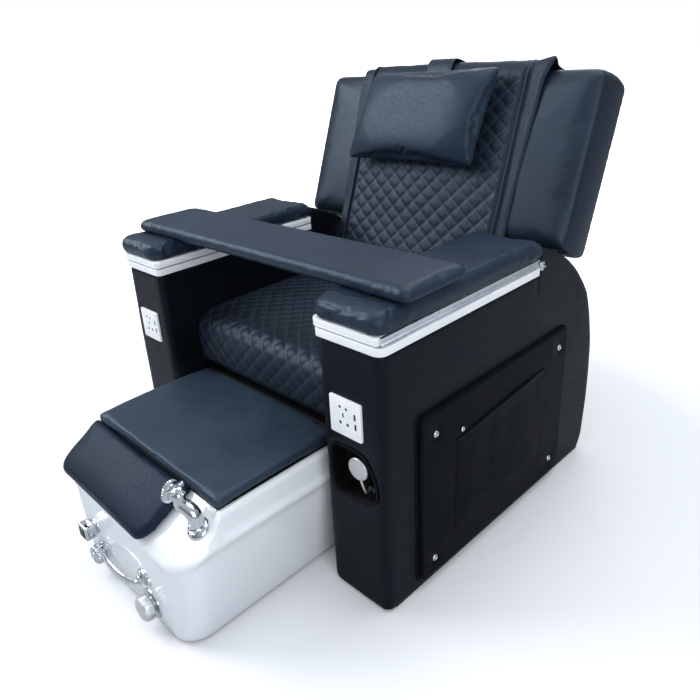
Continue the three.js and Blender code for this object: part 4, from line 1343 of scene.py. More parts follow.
# ------------------------------------------------------------------ head pillow and its strap
def pillow():
    TL, TR, BR, BL = (-212, 434), (206, 440), (182, 184), (-258, 184)

    def plan(A, B):
        s_, t_ = (A + 1) / 2, (B + 1) / 2
        x = (BL[0] * (1 - s_) + BR[0] * s_) * (1 - t_) + (TL[0] * (1 - s_) + TR[0] * s_) * t_
        u = (BL[1] * (1 - s_) + BR[1] * s_) * (1 - t_) + (TL[1] * (1 - s_) + TR[1] * s_) * t_
        # sides pull in between the corners
        x = x - 5 * A * (1 - B**2)
        u = u - 4 * B * (1 - A**2)
        return x, u

    def prof(A, B):
        a, b = np.clip(1 - np.abs(A) ** 4.6, 0, 1), np.clip(1 - np.abs(B) ** 3.6, 0, 1)
        return np.sqrt(a * b) ** 0.86

    def crease(A, B):
        p = np.stack([A * 215, B * 120, 600 + 0 * A], 1)
        corner = smooth01((np.abs(A) * np.abs(B) - 0.35) / 0.5)
        q = np.stack([p[:, 0] * 0.5 - p[:, 1] * np.sign(A * B) * 0.9, p[:, 1] * 0.2, p[:, 2]], 1)
        edge = smooth01((np.maximum(np.abs(A), np.abs(B)) - 0.7) / 0.25)
        return 2.2 * corner * folds(vnoise(q, 26, 95)) + 1.2 * edge * folds(vnoise(p, 24, 96)) + 0.8 * vnoise(p, 70, 97)

    def top(A, B, D):
        return prof(A, B) * 36 - 0.6 * crease(A, B) * prof(A, B)

    def bot(A, B, D):
        return -prof(A, B) * 12

    def place(A, B, H):
        x, u = plan(A, B)
        return BK(np.stack([x, -56 - H, u], 1))

    ob = pad("head_pillow_pad", (-1, 1), (-1, 1), 0.05, top, bot, place, None, LEATHER_PAD_LIT, aspace=np.sin(np.linspace(-math.pi / 2, math.pi / 2, 74)), bspace=np.sin(np.linspace(-math.pi / 2, math.pi / 2, 46)), sharp=180)

    def limit(v):
        y = (v[:, 1] - 675) * CS - (v[:, 2] - 625) * SN
        u = (v[:, 1] - 675) * SN + (v[:, 2] - 625) * CS
        y = np.clip(y, -112, -32.5)
        return BK(np.stack([v[:, 0], y, u], 1))

    def sewn(r, n):
        return 0.15 + 0.85 * smooth01((np.abs(n[:, 1] * CS - n[:, 2] * SN) - 0.2) / 0.6)
    puff(ob, 3.4, 14, 12.0, 5.0, -0.004, limit=limit, bend=1.6, weight=sewn)
    m = ob.modifiers.new("s", "SUBSURF")
    m.levels = m.render_levels = 1
    applied(ob)
    set_verts(ob, limit(verts_of(ob)))
    finish_mesh(ob, 180)
    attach(ob, "head_pillow")
    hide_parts("pillow")
    # corded seam round the pillow, with a light grey line on its top edge as a painted highlight
    t = np.linspace(-0.985, 0.985, 40)
    loop = np.concatenate([
        np.column_stack(plan(t, -0 * t - 1)), np.column_stack(plan(0 * t + 1, t)),
        np.column_stack(plan(-t, 0 * t + 1)), np.column_stack(plan(0 * t - 1, -t)),
    ])
    loop = snap_loop(ob, resample(BK(np.column_stack([loop[:, 0], np.full(len(loop), -56.0), loop[:, 1]])), step=8, closed=True, smooth=False))
    v, f = sweep_closed(loop, 1.6, 8, 5.0)
    make("pillow_seam", v, f, "head_pillow", LEATHER_PAD_LIT, sharp=180, slot="black_leather")
    # light grey tube along the top of the seam: painted highlight on the pillow's top edge
    tt = np.linspace(-0.55, 0.72, 30)
    x, u = plan(tt, 0 * tt + 1)
    row = BK(np.column_stack([x, np.full(30, -60.0), u + 2.0]))
    kd = KDTree(len(loop))
    for i, p in enumerate(loop):
        kd.insert(p, i)
    kd.balance()
    row = np.array([kd.find(Vector(p))[0] for p in row]) + BK([[0, -1.3, 1.2]])[0] - BK([[0, 0, 0]])[0]
    v, f = sweep(row, 0.8, n=8, step=5, smooth=False)
    make("pillow_top_highlight", v, f, "head_pillow", THREAD_HIGHLIGHT, sharp=180)


pillow()


def strap():
    path = [(-25.5, 400), (-26, 430), (-25.5, 450), (-20, 470), (-5, 480), (40, 482), (90, 482), (130, 481.5), (158, 477), (172, 463), (175.5, 440), (172, 404), (161, 366), (158, 332)]
    at, length = along(path)

    def place(A, B, H):
        p, t = at(B)
        nrm = np.stack([-t[:, 1], t[:, 0]], 1)
        w = 0.9 * vnoise(np.stack([A, B, 0 * A], 1), 50, 101)
        return BK(np.stack([A, p[:, 0] + nrm[:, 0] * (H + w), p[:, 1] + nrm[:, 1] * (H + w)], 1))

    return pad(
        "pillow_hanger", (-52, 32), (0, length), 2,
        lambda A, B, D: edge_round(D, 3, 2.0) - 0.7 * np.exp(-(((D - 6) / 1.2) ** 2)) * (D > 2), lambda A, B, D: -edge_round(D, 3, 1.2),
        place, "backrest", LEATHER, step=6, edge=8, sharp=180, slot="black_leather", stands=["pillow_strap"],
    )


strap()

# ------------------------------------------------------------------ foot bath
def tub():
    half, y0, y1 = 262.0, -361.0, 200.0
    front_r, rear_r = 62.0, 24.0

    def outline(o, n=22):
        return rounded(-half + o, y0 + o, half - o, y1 - o, [max(front_r - o, 8), max(front_r - o, 8), max(rear_r - o, 6), max(rear_r - o, 6)], n)

    base = outline(0)
    # extra points along the straight sides
    def dense(p):
        q = []
        m = len(p)
        for i in range(m):
            a, b = p[i], p[(i + 1) % m]
            L = np.linalg.norm(b - a)
            k = max(1, int(L / 9))
            q += [a + (b - a) * j / k for j in range(k)]
        return np.array(q), None

    def matched(o):
        """Offset outline with the same point count as the outer one."""
        p0 = outline(0)
        p1 = outline(o)
        q = []
        m = len(p0)
        for i in range(m):
            a, b = p0[i], p0[(i + 1) % m]
            c, d = p1[i], p1[(i + 1) % m]
            k = max(1, int(np.linalg.norm(b - a) / 9))
            q += [c + (d - c) * j / k for j in range(k)]
        return np.array(q)

    P0 = matched(0)
    n = len(P0)

    def deck(y, x=0.0):
        """Height of the top surface: a level ledge, then sloping to the front below a low step."""
        line = 306.0 - 0.639 * np.logaddexp(0, (-(y + 243.0)) / 3.0) * 3.0
        step = -246.0 - 14.0 * smooth01((np.abs(x) - 236) / 14)
        return line + (316.0 - line) * smooth01((y - step + 9) / 14)

    edge_z = deck(P0[:, 1], 262.0)
    rf = np.where(P0[:, 1] < -300, 20.0, 13.0)
    rf = 13 + 11 * smooth01((-300 - P0[:, 1]) / 55)
    wall_top = edge_z - rf
    def wall(z):
        """Half-width of the wall at a height, as a scale of the plan, and the front line."""
        t = (z - 4) / 244.0
        lean = np.interp(z, [4, 10, 20, 60, 126, 180, 236, 262, 316], [226, 229.5, 232.5, 240, 250, 257.5, 264, 264, 262])
        front = np.interp(z, [4, 10, 20, 60, 126, 316], [-354, -358, -360.4, -361, -361, -359])
        return lean, front

    def ring_at(zs, extra=0.0):
        lean, front = wall(zs)
        x = P0[:, 0] * (lean + extra) / half
        y = y1 - (y1 - P0[:, 1]) * (y1 - front + extra * 0.5) / (y1 - y0)
        return np.stack([x, y, zs], 1)

    rings = []
    # underside rim, turned in
    for o, z in ((26, 5.0), (14, 4.2), (6, 4.0)):
        q = matched(o)
        r = ring_at(np.full(n, 4.0))
        sc = np.stack([q[:, 0] * 226 / half, y1 - (y1 - q[:, 1]) * (y1 + 355) / (y1 - y0), np.full(n, z)], 1)
        rings.append(sc)
    for z in (5, 7, 10, 14, 20, 28, 38, 52, 70, 90, 112, 135, 158, 180, 197):
        zz = np.minimum(float(z), wall_top - 20 + 0 * P0[:, 0])
        rings.append(ring_at(zz))
    low = rings[-1][:, 2]
    for q in np.linspace(0, 1, 25)[1:]:
        rings.append(ring_at(low + (wall_top - low) * q))
    top_edge = rings[-1]
    # rounded edge, then the deck in to the bowl
    ang = np.linspace(0, math.pi / 2, 9)[1:]
    centre = np.array([0.0, -90.0])
    for t in ang:
        o = rf * (1 - np.cos(t))
        q0 = np.stack([matched(float(v))[i] for i, v in enumerate(o)]) if np.ptp(o) > 0.3 else matched(float(o.mean()))
        sx = top_edge[:, 0] / np.where(np.abs(P0[:, 0]) > 1e-6, P0[:, 0], 1)
        x = q0[:, 0] * np.where(np.abs(P0[:, 0]) > 1e-6, sx, 1)
        y = y1 - (y1 - q0[:, 1]) * (y1 - top_edge[:, 1]) / np.maximum(y1 - P0[:, 1], 1e-6)
        y = np.where(y1 - P0[:, 1] < 1, q0[:, 1], y)
        z = deck(y, 262.0) - rf + rf * np.sin(t)
        z = np.maximum(z, top_edge[:, 2])
        rings.append(np.stack([x, y, z], 1))
    last = rings[-1]

    def bowl_line(z_scale):
        """Bowl outline mapped onto the same ring of points by direction from its middle."""
        p = rounded(-234 * z_scale, -90 - 136 * z_scale, 234 * z_scale, -90 + 136 * z_scale, 48 * z_scale, 16)
        p = resample(p, n=720, closed=True, smooth=False)
        return p

    def to_bowl(scale):
        b = bowl_line(scale)
        out = []
        # same fraction along the sides: use direction warped to the outline's own box
        for q in P0:
            vx = q[0] / 262.0
            vy = (q[1] + 80.5) / 280.5
            m = max(abs(vx), abs(vy))
            d = np.array([vx / m * 234 * scale, vy / m * 136 * scale])
            th = math.atan2(d[1], d[0])
            bt = np.arctan2(b[:, 1] + 90, b[:, 0])
            i = np.argmin(np.abs((bt - th + math.pi) % (2 * math.pi) - math.pi))
            out.append(b[i])
        return np.array(out)

    mouth = to_bowl(1.0)
    for q in (0.2, 0.4, 0.6, 0.8, 0.93):
        xy = last[:, :2] * (1 - q) + mouth * q
        rings.append(np.column_stack([xy, deck(xy[:, 1], xy[:, 0])]))
    lip = deck(mouth[:, 1], mouth[:, 0])
    for t in np.linspace(0.25, 1, 4):
        k = 1 - 0.016 * (1 - math.cos(t * math.pi / 2)) * 3
        xy = np.column_stack([mouth[:, 0] * (1 - 0.03 * (1 - math.cos(t * math.pi / 2))), -90 + (mouth[:, 1] + 90) * (1 - 0.04 * (1 - math.cos(t * math.pi / 2)))])
        rings.append(np.column_stack([xy, lip - 9 * math.sin(t * math.pi / 2) * 0.9 - 1 * t]))
    for k, z in ((0.955, 270), (0.935, 220), (0.915, 170), (0.895, 125), (0.87, 98), (0.83, 83), (0.76, 77), (0.6, 75.4), (0.35, 74.6), (0.1, 74)):
        xy = np.column_stack([mouth[:, 0] * k, -90 + (mouth[:, 1] + 90) * (k - 0.01)])
        zz = np.minimum(z + 0 * lip, lip - 12)
        rings.append(np.column_stack([xy, zz]))
    # soft moulded ridge along the sides that runs down round the front corners and fades
    for k, r in enumerate(rings):
        if k < 8 or k > 60:
            continue
        x, y, z = r.T
        ax = np.abs(x)
        front = smooth01((-300 - y) / 60)
        rz = 254 - 0.012 * (y + 196) - 24 * smooth01((-285 - y) / 76) - 22 * smooth01((214 - ax) / 60) * front
        fade = smooth01((ax - 158) / 50) * smooth01((196 - y) / 20)
        outer = np.array([inside_distance(x, y, -272, 272, -364, 204, [62, 62, 24, 24])]).ravel()
        near = 1 - smooth01((outer - 14) / 16)
        d = (z - rz)
        h = (8.5 * np.exp(-((d / np.where(d > 0, 7.5, 17.0)) ** 2))) * (1 - 0.35 * front) * fade * near
        nrm = np.stack([x / np.maximum(ax, 1) * smooth01((ax - 170) / 60), -front], 1)
        nrm /= np.maximum(np.linalg.norm(nrm, axis=1), 1e-6)[:, None]
        r[:, :2] += nrm * h[:, None]
    v, f = loft(rings, False, True)
    # the underside: shell walls turn up inside, then a floor above the wheels
    inner = []
    r0 = rings[0]
    c = np.array([0, -80.0])
    m0 = len(v)
    for k, z in ((0.985, 12.0), (0.975, 40.0), (0.965, 60.0), (0.9, 62.0), (0.5, 62.0), (0.1, 62.0)):
        xy = c + (r0[:, :2] - c) * k
        inner.append(np.column_stack([xy, np.full(n, z)]))
    v = np.vstack([v] + inner)
    for k in range(len(inner)):
        a = 0 if k == 0 else m0 + (k - 1) * n
        b = m0 + k * n
        for i in range(n):
            j = (i + 1) % n
            f.append((a + j, a + i, b + i, b + j))
    f.append(tuple(range(m0 + (len(inner) - 1) * n, m0 + len(inner) * n)))
    return make("bath_shell", v, f, "tub", ACRYLIC, sharp=60, slot="tub_acrylic", stands=["tub_shell"])


tub()
lugs = merged(*[box(x - 5, x + 5, y - 13, y + 13, 9, 64) for y in (-300, 40) for x in (-155, 155)])
bevelled("bath_axle_lugs", lugs, "tub", ACRYLIC, 1.5, 2, slot="tub_acrylic")


def foot_pad():
    path = [(-244, 310.5), (-252, 309), (-262, 304.5), (-283, 291), (-310, 273.5), (-335, 256.5), (-352, 243.5), (-361, 234), (-364.5, 229)]
    at, length = along(path)

    def top(A, B, D):
        p = np.stack([A, B, 700 + 0 * A], 1)
        h = edge_round(D, 17, 14.5, 2.1) + 3.5 * smooth01(D / 60)
        h += 0.8 * vnoise(p, 90, 111) * smooth01(D / 25) + 0.5 * vnoise(p, 26, 112) * smooth01((34 - D) / 26) * smooth01(D / 8)
        return h

    def place(A, B, H):
        p, t = at(B)
        A = A - 15 * smooth01(A / 150) * np.sin(np.clip(B / length, 0, 1) * math.pi * 0.62)
        nrm = np.stack([t[:, 1], -t[:, 0]], 1)
        nrm = np.where(nrm[:, 1:2] < 0, -nrm, nrm)
        nrm = np.where((np.abs(nrm[:, 1:2]) < 0.3) & (nrm[:, 0:1] > 0), -nrm, nrm)
        return np.stack([A, p[:, 0] + nrm[:, 0] * H, p[:, 1] + nrm[:, 1] * H], 1)

    ob = pad(
        "footrest", (-267, 153), (0, length), [10, 10, 52, 34], top, lambda A, B, D: -0.6 + 0 * A, place, None, LEATHER_FOOT_LIT,
        step=5.5, edge=16, sharp=180,
    )
    def faces_out(r, n):
        return smooth01((n[:, 2] * 0.84 - n[:, 1] * 0.54 + 0.05) / 0.5)

    puff(ob, 3.0, 12, 4.0, 4.5, -0.006, weight=faces_out, bend=1.0)
    finish_mesh(ob, 180)
    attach(ob, "tub")
    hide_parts("footrest_pad")


foot_pad()


def lid():
    def top(A, B, D):
        p = np.stack([A, B, 800 + 0 * A], 1)
        return edge_round(D, 8, 11.0, 2.4) + 1.0 * smooth01(D / 70) + 0.7 * vnoise(p, 120, 121) * smooth01(D / 20)

    def bot(A, B, D):
        return -edge_round(D, 8, 13.0, 2.4)

    def place(A, B, H):
        return np.stack([A, B, 333.0 + H], 1)

    ob = pad("lid_pad", (-255, 254), (-253, 79), 8, top, bot, place, None, LEATHER_LID_LIT, step=7, edge=12, sharp=180)
    def limit(v):
        v[:, 2] = np.clip(v[:, 2], 319.6, 346.5)
        return v
    puff(ob, 2.5, 10, 2.5, 4.5, -0.01, lambda r: r[:, 2] < 321.5, limit=limit)
    set_verts(ob, limit(verts_of(ob)))
    finish_mesh(ob, 180)
    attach(ob, "lid")
    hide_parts("tub_lid")


lid()
# dark strip round the underside of the lid: painted shade in the gap between the lid and the bath
v, f = slab(lambda o: rounded(-251 - o, -249.5 - o, 250 + o, 76 + o, 6, 6), [(-1, 0), (0, 0.6), (0, 3.4), (-2, 4.4)], lambda a, b, c: np.stack([a, b, 316.8 + c], 1))
make("lid_shade_strip", v, f, "lid", NEAR_BLACK_AND_SHADE, sharp=50, slot="black_rubber")
# near-black board on the bath deck behind the lid: painted shade under the front of the seat
pad(
    "bath_rear_shade_board", (-255, 254), (80.5, 192), 6,
    lambda A, B, D: edge_round(D, 7, 10.5, 2.4) + 0.6 * vnoise(np.stack([A, B, 0 * A], 1), 90, 131) * smooth01(D / 20), lambda A, B, D: -edge_round(D, 6, 11.8),
    lambda A, B, H: np.stack([A, B, 328.8 + H], 1), "tub", NEAR_BLACK_AND_SHADE, step=9, edge=9, sharp=180, slot="black_plastic",
)

# ------------------------------------------------------------------ bath fittings
KY = -361.4


def knurl(r, depth=0.7, count=30):
    return lambda t: r + depth * np.sign(np.sin(count * t)) * np.abs(np.sin(count * t)) ** 0.5


# cover rings behind the round knobs
v, f = merged(
    lathe([(22, 0.4), (24.5, 0.4), (25.5, -1.2), (24.5, -3.2), (22, -3.6), (14, -3.6), (13, -2.6), (13, 0.4)], (-127, KY + 1, 58), (0, 1, 0), 56),
    lathe([(30, 0.4), (34, 0.4), (35.5, -1.2), (34.5, -3.4), (31, -4.2), (20, -4.2), (18, -3.0), (18, 0.4)], (106, KY + 1, 57), (0, 1, 0), 64),
    lathe([(18, 0.4), (20, 0.4), (20.5, -0.8), (20, -2.2), (18, -2.6), (12, -2.6), (11, -2.0), (11, 0.4)], (-141, KY + 1, 126), (0, 1, 0), 56),
)
make("knob_rings", v, f, "tub", CHROME, sharp=40, slot="chrome")

v, f = lathe(
    [(0, 0), (16, 0), (16, 3), (17.5, 4.5), (20.5, 6), (knurl(23, 0.9, 22), 8), (knurl(23.3, 0.9, 22), 20), (22, 23.6), (19.5, 26), (16, 27), (15, 25.6), (9, 25.2), (8, 27), (0, 27.4)],
    (-127, KY, 58), (0, -1, 0), 208,
)
make("flow_knob", v, f, "flow_knob", CHROME, sharp=35, slot="chrome", stands=["knob_flow"])
v, f = lathe(
    [(0, 0), (18, 0), (18, 4), (20, 6), (lambda t: 27 + 0.7 * np.cos(8 * t), 9), (lambda t: 28.4 + 0.7 * np.cos(8 * t), 16), (lambda t: 27.8 + 0.6 * np.cos(8 * t), 25), (25.5, 29.5), (21, 32), (12, 33.4), (0, 33.8)],
    (106, KY, 57), (0, -1, 0), 96,
)
make("drain_knob", v, f, "drain_knob", SATIN, sharp=35, slot="chrome", stands=["knob_drain"])

# square mixer knob: a frame round the push button
def sq(o, y, half=22.0, r=8.0):
    p = rounded(-141 - half + o, 126 - half + o, -141 + half - o, 126 + half - o, max(r - o, 1.2), 8)
    return np.stack([p[:, 0], np.full(len(p), float(y)), p[:, 1]], 1)


def sqi(o, y):
    p = rounded(-141 - 12.6 - o, 126 - 12.6 - o, -141 + 12.6 + o, 126 + 12.6 + o, 2.4 + o, 8)
    return np.stack([p[:, 0], np.full(len(p), float(y)), p[:, 1]], 1)


rings = [sq(9, KY), sq(8, KY - 3), sq(6, KY - 6), sq(4, KY - 9), sq(3.2, KY - 12), sq(3.0, KY - 16), sq(3.0, KY - 28), sq(3.4, KY - 31.5), sq(4.6, KY - 33.4), sq(5.8, KY - 34), sqi(2.2, KY - 34), sqi(0.8, KY - 33.4), sqi(0, KY - 32), sqi(0, KY - 18)]
v, f = loft(rings)
make("mixer_knob", v, f, "temp_knob", CHROME, sharp=40, slot="chrome", stands=["knob_temp"])


def sb(o, y):
    p = rounded(-141 - 12 + o, 126 - 12 + o, -141 + 12 - o, 126 + 12 - o, max(2.4 - o * 0.5, 0.8), 6)
    return np.stack([p[:, 0], np.full(len(p), float(y)), p[:, 1]], 1)


v, f = loft([sb(0, KY - 23), sb(0, KY - 34.8), sb(0.5, KY - 35.8), sb(1.6, KY - 36.2), sb(5, KY - 36.0), sb(9, KY - 35.7)])
make("mixer_button", v, f, "temp_button", BLACK, sharp=40, slot="black_plastic", stands=["temp_button"])

# bow handle with its two feet
v, f = merged(
    sweep([(-92, KY + 2, 88), (-92, KY - 6, 88), (-84, KY - 16, 89), (-54, KY - 23, 91), (-18, KY - 25, 92), (20, KY - 23, 91), (48, KY - 15, 89), (56, KY - 6, 88), (56, KY + 2, 88)], lambda t: 5.0 + 3.4 * math.sin(math.pi * t) ** 1.5, n=24, step=4, shape=(0.75, 1.15)),
    lathe([(0, 0.5), (10, 0.5), (10.8, -0.8), (10, -3), (7.5, -4.6), (0, -4.6)], (-92, KY, 88), (0, 1, 0), 36),
    lathe([(0, 0.5), (10, 0.5), (10.8, -0.8), (10, -3), (7.5, -4.6), (0, -4.6)], (56, KY, 88), (0, 1, 0), 36),
)
make("bath_handle", v, f, "tub", CHROME, sharp=40, slot="chrome", stands=["pull_handle"])


def overflow():
    """Oval strainer plate with rows of holes."""
    cx, cz = 91.0, 120.0
    t = np.linspace(0, 2 * math.pi, 64, endpoint=False)
    def ring(k, y, dr=0.0):
        return np.stack([cx + (27 * k + dr) * np.cos(t), np.full(64, float(y)), cz + (18 * k + dr) * np.sin(t)], 1)
    v, f = loft([ring(1, KY + 0.4), ring(1.0, KY - 1.6), ring(0.975, KY - 3.2), ring(0.93, KY - 4.2), ring(0.86, KY - 4.4), ring(0.82, KY - 3.7), ring(0.4, KY - 3.9), ring(0.05, KY - 4.0)])
    ob = make("overflow_cover", v, f, None, CHROME, sharp=40)
    holes = []
    for i in range(-3, 4):
        for j in (-1, 0, 1):
            x, z = cx + i * 6.0 + (3 if j else 0), cz + j * 6.4
            if ((x - cx) / 21) ** 2 + ((z - cz) / 13) ** 2 < 1:
                holes.append(lathe([(0, 0), (1.9, 0), (1.9, 5), (0, 5)], (x, KY - 6, z), (0, 1, 0), 12))
    subtract(ob, merged(*holes))
    finish_mesh(ob, 40)
    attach(ob, "tub")
    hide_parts("overflow_plate")


overflow()

# faucet: base ring on the sloping deck, bent body, knurled shower head, cross handle
v, f = lathe([(0, -1), (25, -1), (25.4, 1.0), (24.6, 3.4), (22, 5.6), (18.4, 7.2), (16.5, 9), (0, 9)], (224, -284.4, 280.5), (0, -0.5385, 0.8426), 56)
make("tap_base", v, f, "tub", CHROME, sharp=40, slot="chrome", stands=["faucet_base"])
v, f = merged(
    lathe([(0, 0), (18.6, 0), (18.8, 2.5), (17.0, 5), (16.4, 12), (0, 12)], (224.5, -286.5, 288), (-0.05, -0.06, 1), 44),
    sweep([(224.5, -286.5, 292), (224, -286.8, 304), (221, -287.8, 315.5), (213, -290.2, 323.5), (203, -293, 327.5), (192, -296.2, 329.5)], lambda t: 15.8 - 1.2 * t + 1.0 * math.sin(math.pi * t), n=36, step=2.5),
    lathe([(0, 0), (9, 0), (13.2, 3), (14.8, 8), (14.8, 16), (13.6, 23), (13.8, 31), (13.0, 36), (10.4, 39.6), (0, 40)], (192, -296.4, 320), (-0.03, -0.04, 1), 44),
    lathe([(0, -4), (12.6, -4), (12.6, 7.0), (11.4, 10.2), (0, 10.2)], (191.8, -296.3, 351.6), (-0.88, -0.3, 0.12), 40),
)
make("tap_spout", v, f, "spout", CHROME, sharp=40, slot="chrome", stands=["faucet_spout"])


def cross():
    """Four-lobed tap handle standing on the bend of the spout."""
    t = np.linspace(0, 2 * math.pi, 96, endpoint=False)
    r = 10.0 + 8.0 * np.abs(np.cos(2 * t)) ** 1.6
    at = np.array([194.0, -297.2, 369.0])
    d = np.array([-0.25, -0.35, 0.9])
    d /= np.linalg.norm(d)
    a = np.cross(d, [0, 1.0, 0.3]); a /= np.linalg.norm(a)
    b = np.cross(d, a)
    def ring(k, h):
        return at + d * h + (a * (r * k * np.cos(t))[:, None] + b * (r * k * np.sin(t))[:, None])
    hub = lathe([(0, -14), (9.4, -14), (8.4, -9), (7.0, -3), (7.0, 1), (0, 1)], at, d, 28)
    lobes = loft([ring(0.6, -3), ring(0.9, -2.2), ring(1, -0.4), ring(1, 3.6), ring(0.93, 5.4), ring(0.78, 6.4), ring(0.3, 6.8)])
    v, f = merged(hub, lobes)
    make("tap_cross", v, f, "spout", CHROME, sharp=40, slot="chrome")


cross()
hd = (-0.88, -0.3, 0.12)
v, f = lathe(
    [(0, 0), (12, 0), (12.6, 2), (13.4, 4), (17, 5.6), (21, 7), (knurl(23.2, 0.7, 30), 8.5), (knurl(23.8, 0.7, 30), 15), (23.0, 16.8), (21.4, 17.9), (19.8, 18.2), (19.2, 17.4), (0, 17.2)],
    (182.6, -299.4, 352.8), hd, 192,
)
make("tap_head", v, f, "shower_head", CHROME, sharp=35, slot="chrome", stands=["shower_head"])
noz = []
dd = np.array(hd) / np.linalg.norm(hd)
aa = np.cross(dd, [0, 0, 1.0]); aa /= np.linalg.norm(aa)
bb = np.cross(dd, aa)
for rr_, cnt in ((5.5, 6), (11, 12), (16.5, 18)):
    for k in range(cnt):
        q = 2 * math.pi * k / cnt
        c = np.array([182.6, -299.4, 352.8]) + dd * 17.1 + rr_ * (aa * math.cos(q) + bb * math.sin(q))
        noz.append(lathe([(0, 0), (0.95, 0), (0.8, 1.1), (0, 1.3)], c, dd, 8))
v, f = merged(*noz)
make("tap_nozzles", v, f, "shower_head", RUBBER, sharp=60, slot="black_rubber")

# ------------------------------------------------------------------ CAD nodes carried over
for node, material, slot_name, bevel in (
    ("base_frame", PAINT, "frame_steel", 0.8), ("hinge_rod", STEEL, "slide_steel", 0.8), ("foot_strip_left", RUBBER, "black_rubber", 1.0),
    ("foot_strip_right", RUBBER, "black_rubber", 1.0), ("seat_board", WOOD, "plywood", 0.8), ("back_frame", PAINT, "frame_steel", 0.8),
    ("lead_screw", STEEL, "slide_steel", 0.6), ("massage_carriage", BLACK, "black_plastic", 0.8), ("roller_upper", RUBBER, "black_rubber", 1.6),
    ("roller_lower", RUBBER, "black_rubber", 1.6), ("actuator_body", BLACK, "black_plastic", 0.8), ("actuator_rod", STEEL, "slide_steel", 0.6),
    ("jet_pump", BLACK, "black_plastic", 1.4), ("wheelset_front", RUBBER, "black_rubber", 1.4), ("wheelset_rear", RUBBER, "black_rubber", 1.4),
    ("drain_plug", CHROME, "chrome", 0.8), 
):
    o = frame["nodes"][node]
    o.data.materials.clear()
    o.data.materials.append(material)
    if bevel:
        m = o.modifiers.new("edges", "BEVEL")
        m.width = bevel / 1000
        m.segments = 2
        m.limit_method = "ANGLE"
        m.angle_limit = math.radians(40)

# ------------------------------------------------------------------ stage, light, camera
def floor():
    me = bpy.data.meshes.new("floor")
    s = 30
    me.from_pydata([(-s, -s, 0), (s, -s, 0), (s, s, 0), (-s, s, 0)], [], [(0, 1, 2, 3)])
    ob = bpy.data.objects.new("floor", me)
    bpy.context.scene.collection.objects.link(ob)
    m = Nodes("floor")
    n = m.noise(2.0, 2, 0.5)
    col = m.mix(n, (0.9, 0.905, 0.91, 1), (0.93, 0.932, 0.935, 1))
    lp = m.n("ShaderNodeLightPath").outputs["Is Camera Ray"]
    far = m.n("ShaderNodeVectorMath")
    far.operation = "LENGTH"
    m.t.links.new(m.co, far.inputs[0])
    fade = m.remap(far.outputs["Value"], 0.0, 1.0, 1.1, 2.6)
    m.put(Base_Color=m.mix(lp, (0.5, 0.51, 0.53, 1), col), Roughness=0.9, Emission_Color=(1, 1, 1, 1), Emission_Strength=m.math("MULTIPLY", fade, lp))
    m.bsdf.inputs["Specular IOR Level"].default_value = 0.0
    me.materials.append(m.mat)


floor()

sc = bpy.context.scene
world = bpy.data.worlds.new("world")
sc.world = world
world.use_nodes = True
wt = world.node_tree
wt.nodes.clear()
wo = wt.nodes.new("ShaderNodeOutputWorld")
cam_bg = wt.nodes.new("ShaderNodeBackground")
cam_bg.inputs[0].default_value = (1, 1, 1, 1)
cam_bg.inputs[1].default_value = 1.0
env = wt.nodes.new("ShaderNodeBackground")
geo = wt.nodes.new("ShaderNodeTexCoord")
sep = wt.nodes.new("ShaderNodeSeparateXYZ")
wt.links.new(geo.outputs["Generated"], sep.inputs[0])
grad = wt.nodes.new("ShaderNodeValToRGB")
mr = wt.nodes.new("ShaderNodeMapRange")
mr.inputs["From Min"].default_value = -1
mr.inputs["From Max"].default_value = 1
wt.links.new(sep.outputs["Z"], mr.inputs["Value"])
wt.links.new(mr.outputs[0], grad.inputs[0])
e = grad.color_ramp.elements
e[0].position, e[0].color = 0.0, (0.20, 0.21, 0.22, 1)
e[1].position, e[1].color = 0.5, (0.22, 0.24, 0.27, 1)
for pos, col in ((0.6, (0.34, 0.37, 0.41, 1)), (0.8, (0.75, 0.8, 0.88, 1)), (1.0, (0.95, 1.0, 1.08, 1))):
    x = e.new(pos)
    x.color = col
wt.links.new(grad.outputs[0], env.inputs[0])
env.inputs[1].default_value = 0.75
lp = wt.nodes.new("ShaderNodeLightPath")
mixs = wt.nodes.new("ShaderNodeMixShader")
wt.links.new(lp.outputs["Is Camera Ray"], mixs.inputs[0])
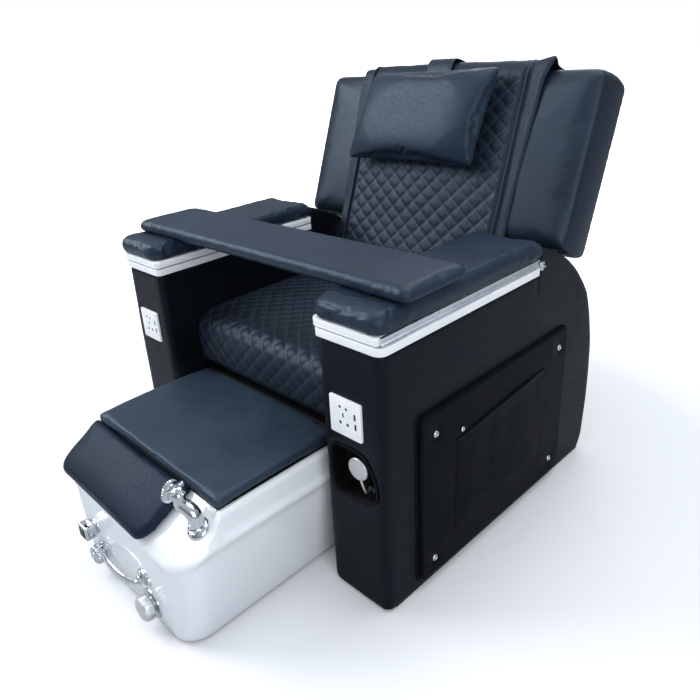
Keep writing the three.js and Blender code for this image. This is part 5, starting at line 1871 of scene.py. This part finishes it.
wt.links.new(env.outputs[0], mixs.inputs[1])
wt.links.new(cam_bg.outputs[0], mixs.inputs[2])
wt.links.new(mixs.outputs[0], wo.inputs[0])


def area(name, at, to, size, power, col=(1, 1, 1), size_y=None):
    d = bpy.data.lights.new(name, "AREA")
    d.energy = power
    d.color = col
    d.size = size
    if size_y:
        d.shape = "RECTANGLE"
        d.size_y = size_y
    o = bpy.data.objects.new(name, d)
    bpy.context.scene.collection.objects.link(o)
    o.location = at
    o.rotation_mode = "QUATERNION"
    o.rotation_quaternion = (Vector(to) - Vector(at)).to_track_quat("-Z", "Y")
    return o


area("key", (-2.4, -1.8, 2.7), (0, -0.1, 0.5), 2.0, 92, (0.95, 0.975, 1.0))
area("top", (0.4, 0.5, 3.4), (0, 0, 0.5), 2.4, 42, (0.9, 0.95, 1.0))
area("fill", (2.9, -1.6, 1.5), (0.2, -0.3, 0.3), 2.0, 39, (0.97, 0.985, 1.0))
area("back", (-0.8, 3.0, 2.4), (0, 0.2, 0.7), 1.8, 24, (1, 1, 1))

cam = bpy.data.cameras.new("camera")
co = bpy.data.objects.new("camera", cam)
sc.collection.objects.link(co)
yaw, pitch, roll = math.radians(49.316), math.radians(-23.105), math.radians(-4.780)
fwd = Vector((-math.sin(yaw) * math.cos(pitch), math.cos(yaw) * math.cos(pitch), math.sin(pitch)))
right = fwd.cross(Vector((0, 0, 1))).normalized()
up = right.cross(fwd)
r_ = right * math.cos(roll) + up * math.sin(roll)
u_ = -right * math.sin(roll) + up * math.cos(roll)
M4 = Matrix(((r_.x, u_.x, -fwd.x, 1.1643), (r_.y, u_.y, -fwd.y, -1.05989), (r_.z, u_.z, -fwd.z, 1.1392), (0, 0, 0, 1)))
co.matrix_world = M4
cam.sensor_width = 36
cam.lens = 33.29
cam.shift_x = 0.0637
cam.shift_y = -0.037
cam.clip_start = 0.02
cam.clip_end = 200
sc.camera = co
sc.view_settings.view_transform = "Standard"
sc.view_settings.look = "None"
sc.view_settings.exposure = 0.0
